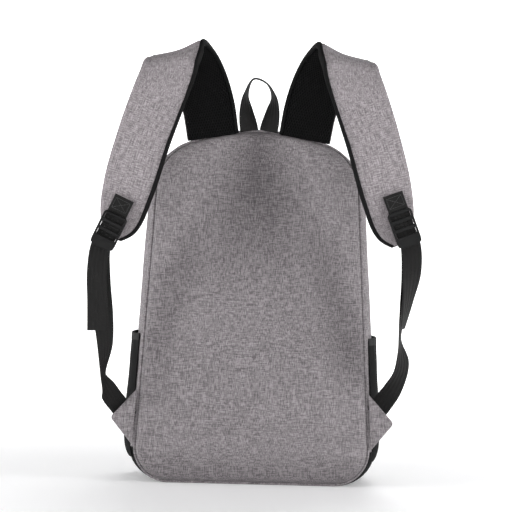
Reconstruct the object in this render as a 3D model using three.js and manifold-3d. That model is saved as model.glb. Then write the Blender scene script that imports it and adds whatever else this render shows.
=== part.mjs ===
// Solar backpack: a soft daypack with a padded back panel, two shoulder straps and a solar panel on its front.
// Millimetres, +Z up. The back panel faces -Y and the solar panel faces +Y.
// The origin is the middle of the bag's underside. Left is +X, the wearer's left.
import * as THREE from 'three';
import { mergeVertices } from 'three/addons/utils/BufferGeometryUtils.js';
import Module from 'manifold-3d';

const wasm = await Module();
wasm.setup();

// ---- driving dimensions ----
const GAP = 0.3; // between pieces that touch

// outline of the back panel, seen from behind
const HEIGHT = 449;
const HALF_BASE = 150;
const HALF_SHOULDER = 130;
const CROWN_RADIUS = 239;
const SHOULDER_RADIUS = 65;
const BASE_RADIUS = 45;

// depth of the bag, from the back panel to the front
const BACK_FACE = -75; // Y of the back panel's outer face
const BACK_PAD = 12; // thickness of the back panel
const BAG_DEPTH = 128; // back panel's face to front panel's inner face, less the pad
const WALL = 3; // padded cloth wall
const FRONT_WALL = 3;
const SIDE_BULGE = 8; // how far the side walls stand out past the back panel
const ZIP_SETBACK = 32; // main zip, behind the front panel
const CROWN_FALL_ZIP = 10; // how much lower the top is at the zip
const CROWN_FALL_FRONT = 22; // and at the front panel
const BASE_BOOT = 44; // height of the black base
const LID_HINGE_Z = 150; // where the main zip ends on each side

// zips
const TAPE_WIDTH = 5;
const TAPE_PROUD = 2;
const SLIDER = { length: 13, width: 9, height: 5, lift: 1.2 };
const PULLER = { length: 26, width: 7, thickness: 1.6 };
const SLIDER_REST = 3.6; // degrees from the middle of the top

// back panel trim and inside
const PIPING = 3.2;
const SHEET_THICKNESS = 1.5;
const SHEET_INSET = 12;
const SLEEVE = { halfWidth: 112, bottom: 32, top: 300, slot: 17, wall: 3 };

// side pockets
const POCKET = { bottom: 30, mouth: 188, space: 6.5, wall: 1.6, back: -58, front: 24 };
const HEM_HEIGHT = 9;
const HEM_PROUD = 1.4;

// front pocket
const FRONT_POCKET = { halfWidth: 112, bottom: 20, top: 126, depth: 20, wall: 2, radius: 16 };
const POCKET_ZIP = { halfWidth: 96, height: 112, slot: 6.6, tooth: 0.6 };
const POCKET_SLIDER_REST = -86;

// solar panel
const SOLAR = { halfWidth: 92, bottom: 180, height: 212, border: 9, thickness: 2.4, radius: 8 };
const CELL_MARGIN = 6;
const CELL_THICKNESS = 0.8;
const JUNCTION = { width: 62, height: 40, depth: 14, z: 352 };
const SOCKET = { width: 14, height: 7.5, depth: 3 };
const CAP = { width: 20, height: 13, thickness: 2 };
const LEAD_RADIUS = 1.8;
const GROMMET = { radius: 6, flange: 1.2 };

// shoulder straps
const STRAP_THICKNESS = 9;
const MESH_THICKNESS = 2;
const LAYER_GAP = 1.5; // between the twisting layers of a strap
const BINDING_WIDTH = 4;
const WEBBING = 25; // webbing width
const WEBBING_THICKNESS = 1.6;
const SEAM_WIDTH = 66; // strap width at the top seam
const STRAP_STEPS = 40;

// ladder-lock buckle
const LOCK = { rail: 2.7, length: 46, thickness: 4, bar: 4.2, slotHeight: 6.5, tabFlare: 1.5, play: 1.2 };
const SEWN_LENGTH = 22; // of the webbing sewn on the strap

// lower anchors
const ANCHOR = { reach: 30, tipZ: 81.6, topZ: 119, bottomZ: 47, thickness: 3 };

// grab handle
const HANDLE_WIDTH = 23;
const HANDLE_THICKNESS = 2.4;

// ---- derived places ----
const INNER_BACK = BACK_FACE + BACK_PAD; // Y where the walls start
const FRONT_INNER = INNER_BACK + BAG_DEPTH - FRONT_WALL;
const FRONT_OUTER = FRONT_INNER + FRONT_WALL;
const ZIP_Y = FRONT_OUTER - ZIP_SETBACK;

const pack = new THREE.Group();
const rad = THREE.MathUtils.degToRad;

// ---- making solids ----

const finish = {
  heather: { color: 0x8a8587, roughness: 0.9, metalness: 0 },
  black: { color: 0x1c1c1d, roughness: 0.85, metalness: 0 },
  mesh: { color: 0x121212, roughness: 0.95, metalness: 0 },
  webbing: { color: 0x2a2929, roughness: 0.8, metalness: 0 },
  plastic: { color: 0x161617, roughness: 0.45, metalness: 0 },
  metal: { color: 0x77787a, roughness: 0.35, metalness: 1 },
  board: { color: 0xd8d8d2, roughness: 0.6, metalness: 0 },
  cells: { color: 0x10182c, roughness: 0.2, metalness: 0 },
  laminate: { color: 0x15161a, roughness: 0.25, metalness: 0 },
};

function add(name, geometry, look) {
  const mesh = new THREE.Mesh(geometry, new THREE.MeshStandardMaterial(finish[look]));
  mesh.name = name;
  pack.add(mesh);
  return mesh;
}

function toSolid(geometry) {
  const bare = geometry.clone();
  for (const name of ['normal', 'uv']) bare.deleteAttribute(name);
  const merged = mergeVertices(bare, 1e-4);
  return new wasm.Manifold(new wasm.Mesh({
    numProp: 3,
    vertProperties: merged.attributes.position.array,
    triVerts: new Uint32Array(merged.index.array),
  }));
}

function toGeometry(solid) {
  const mesh = solid.getMesh();
  const geometry = new THREE.BufferGeometry();
  geometry.setAttribute('position', new THREE.BufferAttribute(mesh.vertProperties, 3));
  geometry.setIndex(new THREE.BufferAttribute(mesh.triVerts, 1));
  return geometry;
}

// A closed skin through loops of points that all have the same count. A ring joins its last loop to its first.
function skin(loops, ring = false) {
  const count = loops[0].length;
  const points = loops.flat();
  const faces = [];
  const spans = ring ? loops.length : loops.length - 1;
  for (let i = 0; i < spans; i++) {
    const here = i * count;
    const next = ((i + 1) % loops.length) * count;
    for (let j = 0; j < count; j++) {
      const k = (j + 1) % count;
      faces.push(here + j, here + k, next + k, here + j, next + k, next + j);
    }
  }
  if (!ring) {
    const last = (loops.length - 1) * count;
    for (let j = 1; j < count - 1; j++) {
      faces.push(0, j + 1, j, last, last + j, last + j + 1);
    }
  }
  const geometry = new THREE.BufferGeometry().setFromPoints(points);
  geometry.setIndex(faces);
  if (toSolid(geometry).volume() < 0) {
    for (let i = 0; i < faces.length; i += 3) [faces[i + 1], faces[i + 2]] = [faces[i + 2], faces[i + 1]];
    geometry.setIndex(faces);
  }
  return geometry;
}

function box(x, y, z) {
  const size = [x, y, z].map(([low, high]) => high - low);
  const middle = [x, y, z].map(([low, high]) => (low + high) / 2);
  return new THREE.BoxGeometry(...size).translate(...middle);
}

function cut(geometry, ...tools) {
  return toGeometry(tools.reduce((rest, tool) => rest.subtract(toSolid(tool)), toSolid(geometry)));
}

function common(geometry, tool) {
  return toGeometry(toSolid(geometry).intersect(toSolid(tool)));
}

// ---- the bag's outline ----

function arc(x, z, radius, from, to, steps) {
  return Array.from({ length: steps + 1 }, (_, i) => {
    const angle = from + (to - from) * i / steps;
    return new THREE.Vector2(x + radius * Math.cos(angle), z + radius * Math.sin(angle));
  });
}

// Closed outline, counter-clockwise from the base's right corner: base corners, straight sides, shoulders, crown.
function outline({ bulge = 0, fall = 0, inset = 0 } = {}) {
  const half = HALF_BASE + bulge - inset;
  const height = HEIGHT - fall - inset;
  const crown = CROWN_RADIUS - inset;
  const shoulder = SHOULDER_RADIUS - inset;
  const corner = BASE_RADIUS - inset;
  const cornerX = half - corner;
  const cornerZ = inset + corner;
  const shoulderX = HALF_SHOULDER + bulge - inset - shoulder;
  const rise = Math.sqrt((crown - shoulder) ** 2 - shoulderX ** 2);
  const shoulderZ = height - crown + rise;
  const across = new THREE.Vector2(shoulderX - cornerX, shoulderZ - cornerZ);
  const side = across.angle() - Math.acos((corner - shoulder) / across.length());
  const top = Math.atan2(rise, shoulderX);
  const right = [
    ...arc(cornerX, cornerZ, corner, -Math.PI / 2, side, 5),
    ...arc(shoulderX, shoulderZ, shoulder, side, top, 4),
    ...arc(0, height - crown, crown, top, Math.PI / 2, 8).slice(1),
  ];
  const left = right.slice(0, -1).reverse().map((p) => new THREE.Vector2(-p.x, p.y));
  return [...right, ...left];
}

const FULL_HEIGHT = [-50, 2 * HEIGHT];
const FULL_WIDTH = [-2 * HALF_BASE, 2 * HALF_BASE];
const FULL_DEPTH = [2 * BACK_FACE, -2 * BACK_FACE];

function loopAt(y, shape) {
  return outline(shape).map((p) => new THREE.Vector3(p.x, y, p.y));
}

// Flat plate between two Y values.
function plate(points, yLow, yHigh) {
  const geometry = new THREE.ExtrudeGeometry(new THREE.Shape(points), { depth: yHigh - yLow, bevelEnabled: false });
  return geometry.rotateX(Math.PI / 2).translate(0, yHigh, 0);
}

function roundedRectangle(halfWidth, low, high, radius) {
  return [
    ...arc(halfWidth - radius, low + radius, radius, -Math.PI / 2, 0, 4),
    ...arc(halfWidth - radius, high - radius, radius, 0, Math.PI / 2, 4),
    ...arc(-halfWidth + radius, high - radius, radius, Math.PI / 2, Math.PI, 4),
    ...arc(-halfWidth + radius, low + radius, radius, Math.PI, 1.5 * Math.PI, 4),
  ];
}

// The wall's stations in depth: Y, how far the sides stand out, and how far the top has fallen.
const stations = [
  [INNER_BACK, 0, 0],
  [INNER_BACK + 10, 0.5 * SIDE_BULGE, 0.1 * CROWN_FALL_ZIP],
  [INNER_BACK + 24, SIDE_BULGE, 0.25 * CROWN_FALL_ZIP],
  [ZIP_Y, SIDE_BULGE, CROWN_FALL_ZIP],
  [FRONT_OUTER, 0.5 * SIDE_BULGE, CROWN_FALL_FRONT],
];

function wallAt(y) {
  const i = Math.max(1, stations.findIndex((station) => station[0] >= y));
  const [low, high] = [stations[i - 1], stations[i]];
  const share = (y - low[0]) / (high[0] - low[0]);
  const [, bulge, fall] = low.map((value, k) => value + (high[k] - value) * share);
  return { bulge, fall };
}

// Band that follows the bag's wall between two depths, from one distance outside the wall to another.
function wallBand(yLow, yHigh, inside, outside) {
  const between = stations.map(([y]) => y).filter((y) => y > yLow && y < yHigh);
  const depths = [yLow, ...between, yHigh];
  const outer = depths.map((y) => loopAt(y, { ...wallAt(y), inset: -outside }));
  const inner = depths.map((y) => loopAt(y, { ...wallAt(y), inset: -inside })).reverse();
  return skin([...outer, ...inner], true);
}

const band = (low, high) => box(FULL_WIDTH, FULL_DEPTH, [low, high]);

// ---- bag: back panel, walls, base and front ----

const panelEdge = PIPING + GAP;
add('back_panel', plate(outline({ inset: panelEdge }), BACK_FACE, INNER_BACK - GAP), 'heather');

const piping = plate(outline(), INNER_BACK - GAP - PIPING, INNER_BACK - GAP);
add('back_piping', cut(piping, plate(outline({ inset: PIPING }), BACK_FACE, INNER_BACK)), 'heather');

const sheetBack = INNER_BACK + GAP;
add('frame_sheet', plate(outline({ inset: SHEET_INSET }), sheetBack, sheetBack + SHEET_THICKNESS), 'board');

const wallEnd = FRONT_INNER - GAP;
const wall = wallBand(INNER_BACK, wallEnd, -WALL, 0);
const lidZone = box(FULL_WIDTH, [ZIP_Y, 2 * FRONT_OUTER], [LID_HINGE_Z, 2 * HEIGHT]);
add('main_gusset', cut(common(wall, band(BASE_BOOT + GAP, 2 * HEIGHT)), lidZone), 'heather');
add('base_panel', common(wall, band(-HEIGHT, BASE_BOOT)), 'black');

const lidSpace = box(FULL_WIDTH, [ZIP_Y + GAP, 2 * FRONT_OUTER], [LID_HINGE_Z + GAP, 2 * HEIGHT]);
add('lid_gusset', common(wall, lidSpace), 'heather');

const front = plate(outline(wallAt(FRONT_OUTER)), FRONT_INNER, FRONT_OUTER);
const leadZ = JUNCTION.z;
const eyelet = new THREE.CylinderGeometry(GROMMET.radius, GROMMET.radius, 4 * FRONT_WALL, 16)
  .translate(0, FRONT_INNER, leadZ);
add('front_panel', common(front, band(-HEIGHT, LID_HINGE_Z)), 'heather');
add('lid_panel', cut(common(front, band(LID_HINGE_Z + GAP, 2 * HEIGHT)), eyelet), 'heather');

// main zip: one half on the bag, one on the lid
const aboveHinge = band(LID_HINGE_Z + GAP, 2 * HEIGHT);
add('zip_tape_body', common(wallBand(ZIP_Y - TAPE_WIDTH, ZIP_Y, GAP, TAPE_PROUD), aboveHinge), 'black');
add('zip_tape_lid', common(wallBand(ZIP_Y + GAP, ZIP_Y + TAPE_WIDTH, GAP, TAPE_PROUD), aboveHinge), 'black');

// sliders run on the crown of the zip, round the crown's centre
const crownCentre = HEIGHT - CROWN_FALL_ZIP - CROWN_RADIUS;
const sliderLow = crownCentre + CROWN_RADIUS + TAPE_PROUD + SLIDER.lift;
const pullerTop = sliderLow + SLIDER.height - 1;
const crownPieces = {
  zip_slider: box([-SLIDER.length / 2, SLIDER.length / 2], [ZIP_Y - SLIDER.width / 2, ZIP_Y + SLIDER.width / 2],
    [sliderLow, sliderLow + SLIDER.height]),
  zip_puller: box([SLIDER.length / 2 + GAP, SLIDER.length / 2 + GAP + PULLER.length],
    [ZIP_Y - PULLER.width / 2, ZIP_Y + PULLER.width / 2], [pullerTop - PULLER.thickness, pullerTop]),
};
for (const [name, geometry] of Object.entries(crownPieces)) {
  geometry.translate(0, 0, -crownCentre).rotateY(rad(SLIDER_REST)).translate(0, 0, crownCentre);
  add(name + '_left', geometry, 'metal');
  add(name + '_right', geometry, 'metal').scale.x = -1;
}

// ---- inside: laptop sleeve ----

const sleeveBack = sheetBack + SHEET_THICKNESS + GAP;
const sleeveFront = sleeveBack + SLEEVE.slot + SLEEVE.wall;
const { halfWidth: sleeveHalf, bottom: sleeveLow, top: sleeveTop, wall: sleeveWall } = SLEEVE;
add('laptop_sleeve', cut(
  box([-sleeveHalf, sleeveHalf], [sleeveBack, sleeveFront], [sleeveLow, sleeveTop]),
  box([-sleeveHalf + sleeveWall, sleeveHalf - sleeveWall], [BACK_FACE, sleeveBack + SLEEVE.slot],
    [sleeveLow + sleeveWall, HEIGHT]),
), 'black');

// ---- side pockets ----

const pocketOut = POCKET.space + POCKET.wall;
const pocketZone = box([0, 2 * HALF_BASE], FULL_DEPTH, [POCKET.bottom, POCKET.mouth]);
const pocketRoom = box([0, 2 * HALF_BASE], FULL_DEPTH, [POCKET.bottom + POCKET.wall, HEIGHT]);
const pocketShell = cut(
  common(wallBand(POCKET.back, POCKET.front, GAP, pocketOut), pocketZone),
  common(wallBand(POCKET.back + POCKET.wall, POCKET.front - POCKET.wall, -WALL, POCKET.space), pocketRoom),
);
const hemZone = box([0, 2 * HALF_BASE], FULL_DEPTH, [POCKET.mouth - HEM_HEIGHT, POCKET.mouth]);
const hem = common(wallBand(POCKET.back, POCKET.front, pocketOut + GAP, pocketOut + GAP + HEM_PROUD), hemZone);
for (const [name, side] of [['left', 1], ['right', -1]]) {
  add('side_pocket_' + name, pocketShell, 'black').scale.x = side;
  add('pocket_hem_' + name, hem, 'black').scale.x = side;
}

// ---- front pocket and its zip ----

const pocketBack = FRONT_OUTER + GAP;
const pocketFace = pocketBack + FRONT_POCKET.depth;
const { halfWidth: pocketHalf, bottom: pocketLow, top: pocketTop, wall: pocketWall } = FRONT_POCKET;
const zipHalf = POCKET_ZIP.slot / 2;
const pocketSkin = plate(roundedRectangle(pocketHalf, pocketLow, pocketTop, FRONT_POCKET.radius), pocketBack, pocketFace);
const pocketHollow = plate(roundedRectangle(pocketHalf - pocketWall, pocketLow + pocketWall, pocketTop - pocketWall,
  FRONT_POCKET.radius - pocketWall), FRONT_INNER, pocketFace - pocketWall);
const zipSlot = box([-POCKET_ZIP.halfWidth, POCKET_ZIP.halfWidth], [pocketFace - 2 * pocketWall, 2 * pocketFace],
  [POCKET_ZIP.height - zipHalf, POCKET_ZIP.height + zipHalf]);
add('front_pocket', cut(pocketSkin, pocketHollow, zipSlot), 'heather');

const tapeX = [-POCKET_ZIP.halfWidth + GAP, POCKET_ZIP.halfWidth - GAP];
const tapeY = [pocketFace - pocketWall, pocketFace];
const { height: zipZ, tooth } = POCKET_ZIP;
add('pocket_zip_upper', box(tapeX, tapeY, [zipZ + tooth / 2, zipZ + zipHalf - GAP]), 'black');
add('pocket_zip_lower', box(tapeX, tapeY, [zipZ - zipHalf + GAP, zipZ - tooth / 2]), 'black');

const pocketSliderX = POCKET_SLIDER_REST;
const pocketSliderY = pocketFace + GAP;
add('pocket_slider', box([pocketSliderX - SLIDER.length / 2, pocketSliderX + SLIDER.length / 2],
  [pocketSliderY, pocketSliderY + SLIDER.height], [zipZ - SLIDER.width / 2, zipZ + SLIDER.width / 2]), 'metal');
const pocketPullerTop = zipZ - SLIDER.width / 2 - GAP;
add('pocket_puller', box([pocketSliderX - PULLER.width / 2, pocketSliderX + PULLER.width / 2],
  [pocketSliderY + SLIDER.height - 1 - PULLER.thickness, pocketSliderY + SLIDER.height - 1],
  [pocketPullerTop - PULLER.length, pocketPullerTop]), 'metal');

// ---- solar panel on the lid ----

const solarBack = FRONT_OUTER + GAP;
const solarTop = SOLAR.bottom + SOLAR.height;
function solarRectangle(margin) {
  return roundedRectangle(SOLAR.halfWidth - margin, SOLAR.bottom + margin, solarTop - margin, SOLAR.radius - margin / 3);
}
const borderFront = solarBack + SOLAR.thickness + CELL_THICKNESS;
add('solar_border', cut(plate(solarRectangle(0), solarBack, borderFront),
  plate(solarRectangle(SOLAR.border), FRONT_INNER, 2 * FRONT_OUTER)), 'black');
const laminateFront = solarBack + SOLAR.thickness;
add('solar_panel', plate(solarRectangle(SOLAR.border + GAP), solarBack, laminateFront), 'laminate');
add('solar_cells', plate(solarRectangle(SOLAR.border + CELL_MARGIN), laminateFront + GAP,
  laminateFront + GAP + CELL_THICKNESS), 'cells');

// ---- junction box behind the panel, its lead, socket and cap ----

const boxFront = FRONT_INNER - GAP - GROMMET.flange - GAP;
const boxBack = boxFront - JUNCTION.depth;
const socketHalf = SOCKET.width / 2;
const socketTall = SOCKET.height / 2;
const socketLength = 9;
const socketWall = 0.8;
const reachOf = (half, extra) => [-half - extra, half + extra];
const heightOf = (half, extra) => reachOf(half, extra).map((z) => z + leadZ);
const junctionShape = roundedRectangle(JUNCTION.width / 2, leadZ - JUNCTION.height / 2, leadZ + JUNCTION.height / 2, 6);
const leadHole = new THREE.CylinderGeometry(LEAD_RADIUS + GAP, LEAD_RADIUS + GAP, 3, 12).translate(0, boxFront, leadZ);
add('junction_box', cut(plate(junctionShape, boxBack, boxFront), leadHole,
  box(reachOf(socketHalf, GAP), [boxBack - 1, boxBack + socketLength + GAP], heightOf(socketTall, GAP))), 'plastic');
add('usb_socket', cut(box(reachOf(socketHalf, 0), [boxBack, boxBack + socketLength], heightOf(socketTall, 0)),
  box(reachOf(socketHalf, -socketWall), [boxBack - 1, boxBack + socketLength + 1], heightOf(socketTall, -socketWall))),
'metal');
const capFront = boxBack - GAP;
add('socket_cap', box(reachOf(CAP.width / 2, 0), [capFront - CAP.thickness, capFront], heightOf(CAP.height / 2, 0)),
  'plastic');

// the lead runs straight from the laminate's back through the grommet into the box
const leadStart = solarBack - GAP;
const leadEnd = boxFront - 1;
add('panel_lead', new THREE.CylinderGeometry(LEAD_RADIUS, LEAD_RADIUS, leadStart - leadEnd, 12)
  .translate(0, (leadStart + leadEnd) / 2, leadZ), 'plastic');
const grommetRim = FRONT_INNER - GAP;
const grommetBore = LEAD_RADIUS + GAP;
add('lead_grommet', new THREE.LatheGeometry([
  [grommetBore, grommetRim - GROMMET.flange], [GROMMET.radius + 3, grommetRim - GROMMET.flange],
  [GROMMET.radius + 3, grommetRim], [GROMMET.radius - GAP, grommetRim],
  [GROMMET.radius - GAP, FRONT_OUTER], [grommetBore, FRONT_OUTER], [grommetBore, grommetRim - GROMMET.flange],
].map(([r, y]) => new THREE.Vector2(r, y)), 16).translate(0, 0, leadZ), 'metal');

// ---- straps, webbing and handle: flat bands along routes chosen by hand ----

// A route is a list of [x, y, z, direction across the band, half width].
function flatBand(route, { edges = [-1, 1], faces, trim = [0, 0], span = [0, 1], steps }) {
  const curve = (pick) => new THREE.CatmullRomCurve3(route.map(pick), false, 'centripetal');
  const middle = curve(([x, y, z]) => new THREE.Vector3(x, y, z));
  const acrossAt = new THREE.CatmullRomCurve3(route.map((r) => new THREE.Vector3(...r[3])), false, 'catmullrom');
  const halfAt = new THREE.SplineCurve(route.map((r, i) => new THREE.Vector2(i, r[4])));
  const loops = [];
  for (let i = 0; i <= steps; i++) {
    const t = span[0] + (span[1] - span[0]) * i / steps;
    const at = middle.getPoint(t);
    const along = middle.getTangent(t);
    const across = acrossAt.getPoint(t);
    across.addScaledVector(along, -across.dot(along)).normalize();
    const out = new THREE.Vector3().crossVectors(along, across);
    const half = halfAt.getPoint(t).y;
    const [near, far] = [edges[0] * half + trim[0], edges[1] * half + trim[1]];
    loops.push([[near, faces[0]], [far, faces[0]], [far, faces[1]], [near, faces[1]]].map(([e, f]) =>
      at.clone().addScaledVector(across, e).addScaledVector(out, f)));
  }
  return skin(loops);
}

// Heights along a strap are measured from the bag's top. Its foot stands just above the crown's edge.
const seamHalf = SEAM_WIDTH / 2;
const SEAM_X = 58;
const crownEdge = Math.sqrt(CROWN_RADIUS ** 2 - SEAM_X ** 2) - CROWN_RADIUS;
const strapRoute = [
  [SEAM_X, -69, crownEdge + 1.7, [0.98, 0, -0.2], seamHalf],
  [65, -76, 29, [0.985, 0, -0.17], seamHalf + 0.5],
  [76, -88, 61, [0.985, 0, -0.18], seamHalf + 1],
  [88, -98, 80, [0.97, 0, -0.25], seamHalf + 2],
  [101, -116, 91, [0.95, 0, -0.31], seamHalf + 3],
  [109, -135, 80, [0.955, 0, -0.3], seamHalf + 2],
  [116, -143, 58, [0.98, 0, -0.2], seamHalf + 1],
  [125, -144, 33, [0.99, 0, -0.14], seamHalf + 1],
  [141, -142, -13, [0.96, 0.15, -0.2], seamHalf + 1],
  [160, -135, -79, [0.93, 0.25, -0.2], seamHalf],
  [168, -128, -124, [0.93, 0.25, -0.15], seamHalf - 5],
  [170, -126, -138, [0.93, 0.25, -0.15], seamHalf - 16],
].map(([x, y, rise, across, half]) => [x, y, HEIGHT + rise, across, half]);
const strapFace = STRAP_THICKNESS / 2;
const meshFace = -strapFace - LAYER_GAP - MESH_THICKNESS;
const strapPieces = {
  strap: [{ faces: [-strapFace, strapFace], trim: [BINDING_WIDTH + LAYER_GAP, 0] }, 'heather'],
  strap_mesh: [{
    faces: [meshFace, -strapFace - LAYER_GAP], trim: [BINDING_WIDTH + LAYER_GAP, 0],
  }, 'mesh'],
  strap_binding: [{
    faces: [meshFace, strapFace], edges: [-1, -1], trim: [0, BINDING_WIDTH],
  }, 'black'],
};
for (const [name, [shape, look]] of Object.entries(strapPieces)) {
  const geometry = flatBand(strapRoute, { ...shape, steps: STRAP_STEPS });
  for (const [sideName, side] of [['_left', 1], ['_right', -1]]) add(name + sideName, geometry, look).scale.x = side;
}

// buckle: centre below the bag's top, and how far its foot leans outwards, per side
const webFace = WEBBING_THICKNESS / 2;
const webHalf = WEBBING / 2;
const lockPlaces = {
  left: { x: 181.5, y: -147, drop: 119, lean: 21, side: 1 },
  right: { x: -181.5, y: -147, drop: 130.5, lean: 25, side: -1 },
};

function lockShape() {
  const slotHalf = webHalf + GAP;
  const half = slotHalf + LOCK.rail;
  const end = LOCK.length / 2;
  const flare = half + LOCK.tabFlare;
  const shape = new THREE.Shape([
    [-half, -end + 8], [-flare, -end + 3], [-flare + 3, -end], [flare - 3, -end], [flare, -end + 3],
    [half, -end + 8], [half, end - 3], [half - 3, end], [-half + 3, end], [-half, end - 3],
  ].map(([x, z]) => new THREE.Vector2(x, z)));
  for (const slot of [1, 2, 3]) {
    const low = end - slot * (LOCK.bar + LOCK.slotHeight);
    const high = low + LOCK.slotHeight;
    shape.holes.push(new THREE.Path([
      [-slotHalf, low], [-slotHalf, high], [slotHalf, high], [slotHalf, low],
    ].map(([x, z]) => new THREE.Vector2(x, z))));
  }
  return shape;
}

const feet = {};
for (const [name, { x, y, drop, lean, side }] of Object.entries(lockPlaces)) {
  const centre = new THREE.Vector3(x, y, HEIGHT - drop);
  const down = new THREE.Vector3(side * Math.sin(rad(lean)), 0, -Math.cos(rad(lean)));
  const across = [Math.cos(rad(lean)), 0, side * Math.sin(rad(lean))];
  const top = centre.clone().addScaledVector(down, -LOCK.length / 2);
  feet[name] = centre.clone().addScaledVector(down, LOCK.length / 2);
  const lock = new THREE.ExtrudeGeometry(lockShape(), { depth: LOCK.thickness, bevelEnabled: false })
    .rotateX(Math.PI / 2).translate(0, LOCK.thickness / 2, 0).rotateY(-side * rad(lean)).translate(...centre);
  add('ladder_lock_' + name, lock, 'plastic');
  const sewn = [SEWN_LENGTH, LOCK.play].map((back) => {
    const at = top.clone().addScaledVector(down, -back);
    return [at.x, at.y, at.z, across, webHalf];
  });
  add('strap_webbing_' + name, flatBand(sewn, { faces: [-webFace, webFace], steps: 1 }), 'webbing');
}

// ---- lower anchors: triangles sewn into the side seams ----

function edgeX(z) {
  const points = outline();
  const i = points.findIndex((p, k) => p.x > 0 && p.y <= z && points[k + 1].y > z);
  const share = (z - points[i].y) / (points[i + 1].y - points[i].y);
  return points[i].x + (points[i + 1].x - points[i].x) * share;
}
const anchorFront = INNER_BACK - GAP - PIPING;
const anchorFace = anchorFront - ANCHOR.thickness;
const anchorTip = edgeX(ANCHOR.tipZ) + ANCHOR.reach;
const anchor = plate([
  [edgeX(ANCHOR.bottomZ) + GAP + 1, ANCHOR.bottomZ], [anchorTip, ANCHOR.tipZ - 2], [anchorTip, ANCHOR.tipZ + 2],
  [edgeX(ANCHOR.topZ) + GAP, ANCHOR.topZ],
].map(([x, z]) => new THREE.Vector2(x, z)), anchorFace, anchorFront);
add('anchor_left', anchor, 'heather');
add('anchor_right', anchor, 'heather').scale.x = -1;

// ---- free tails, hung from the feet of the buckles: offsets from the foot ----

const tails = {
  left: [
    [1.1, -0.2, -5.2, [0.93, 0, 0.36]], [1.8, 0.5, -28.5, [0.95, 0.25, 0.15]],
    [-1.2, 1.5, -64.5, [0.6, 0.8, 0]], [-7.2, 3, -102.5, [0.25, 0.97, 0]],
  ],
  right: [
    [-0.9, -0.2, -5.4, [0.91, 0, -0.42]], [-3.3, 0.5, -29.6, [1, 0, -0.1]],
    [-2.2, 1, -65.6, [1, 0, 0]], [-1.4, 1.5, -102, [1, 0, 0.04]],
  ],
};
for (const [name, offsets] of Object.entries(tails)) {
  const foot = feet[name];
  const route = offsets.map(([x, y, z, across]) => [foot.x + x, foot.y + y, foot.z + z, across, webHalf]);
  add('webbing_tail_' + name, flatBand(route, { faces: [-webFace, webFace], steps: 18 }), 'webbing');
}

// ---- webbing from each buckle's foot down to its anchor: offsets from one end or the other ----

const anchorHold = { x: edgeX(ANCHOR.tipZ) + 17, y: anchorFace - 10 };
const adjusters = {
  left: {
    holdZ: 103,
    fromFoot: [
      [0, 4.4, -3.6, [0.93, 0, 0.36]],
      [0.8, 7.8, -39.9, [0.9, 0.4, 0.1]],
      [-4.3, 20.8, -80.3, [0.5, 0.86, 0]],
      [-8.4, 34.6, -116.7, [0.15, 0.98, 0]],
    ],
    fromHold: [
      [20.5, -22.8, 54.5, [0.75, 0.6, 0.25]],
      [15, -11.5, 28.3, [0.86, 0.3, 0.4]],
      [0, 0, 0, [0.62, 0.06, 0.78]],
    ],
  },
  right: {
    holdZ: 92,
    fromFoot: [
      [0, 4.4, -3.6, [0.91, 0, -0.42]],
      [0.6, 7.4, -40, [1, 0.1, 0]],
      [4, 18.2, -80.4, [0.95, 0.3, 0]],
      [6.6, 30.3, -120.8, [0.7, 0.7, 0]],
    ],
    fromHold: [
      [-21.9, -24.8, 40.4, [0.15, 0.98, 0]],
      [-14, -9.3, 15.2, [0.5, 0.8, -0.3]],
      [0, 0, 0, [0.68, 0.1, -0.7]],
    ],
  },
};
for (const [name, { holdZ, fromFoot, fromHold }] of Object.entries(adjusters)) {
  const hold = new THREE.Vector3(lockPlaces[name].side * anchorHold.x, anchorHold.y, holdZ);
  const from = (end, offsets) => offsets.map(([x, y, z, across]) => (
    [end.x + x, end.y + y, end.z + z, across, webHalf]));
  const route = [...from(feet[name], fromFoot), ...from(hold, fromHold)];
  add('adjuster_webbing_' + name, flatBand(route, { faces: [-webFace, webFace], steps: 18 }), 'webbing');
}

// ---- grab handle ----

const handleHalf = HANDLE_WIDTH / 2;
const handleY = (BACK_FACE + INNER_BACK) / 2;
const handleFoot = HEIGHT + 1;
const handleRoute = [
  [-12.2, handleY, handleFoot, [1, 0, 0], handleHalf],
  [-16.5, handleY + 1, handleFoot + 22, [0.75, 0.65, 0], handleHalf],
  [-17, handleY + 3, handleFoot + 44, [0.25, 0.96, 0], handleHalf],
  [-8, handleY + 4, handleFoot + 63, [0, 1, 0], handleHalf],
  [8, handleY + 4, handleFoot + 58, [0, 1, 0], handleHalf],
  [17, handleY + 3, handleFoot + 42, [-0.25, 0.96, 0], handleHalf],
  [16.5, handleY + 1, handleFoot + 22, [-0.75, 0.65, 0], handleHalf],
  [12, handleY, handleFoot, [-1, 0, 0], handleHalf],
];
add('grab_handle', flatBand(handleRoute, {
  faces: [-HANDLE_THICKNESS / 2, HANDLE_THICKNESS / 2], steps: 28,
}), 'webbing');

export default pack;
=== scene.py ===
import math

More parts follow.
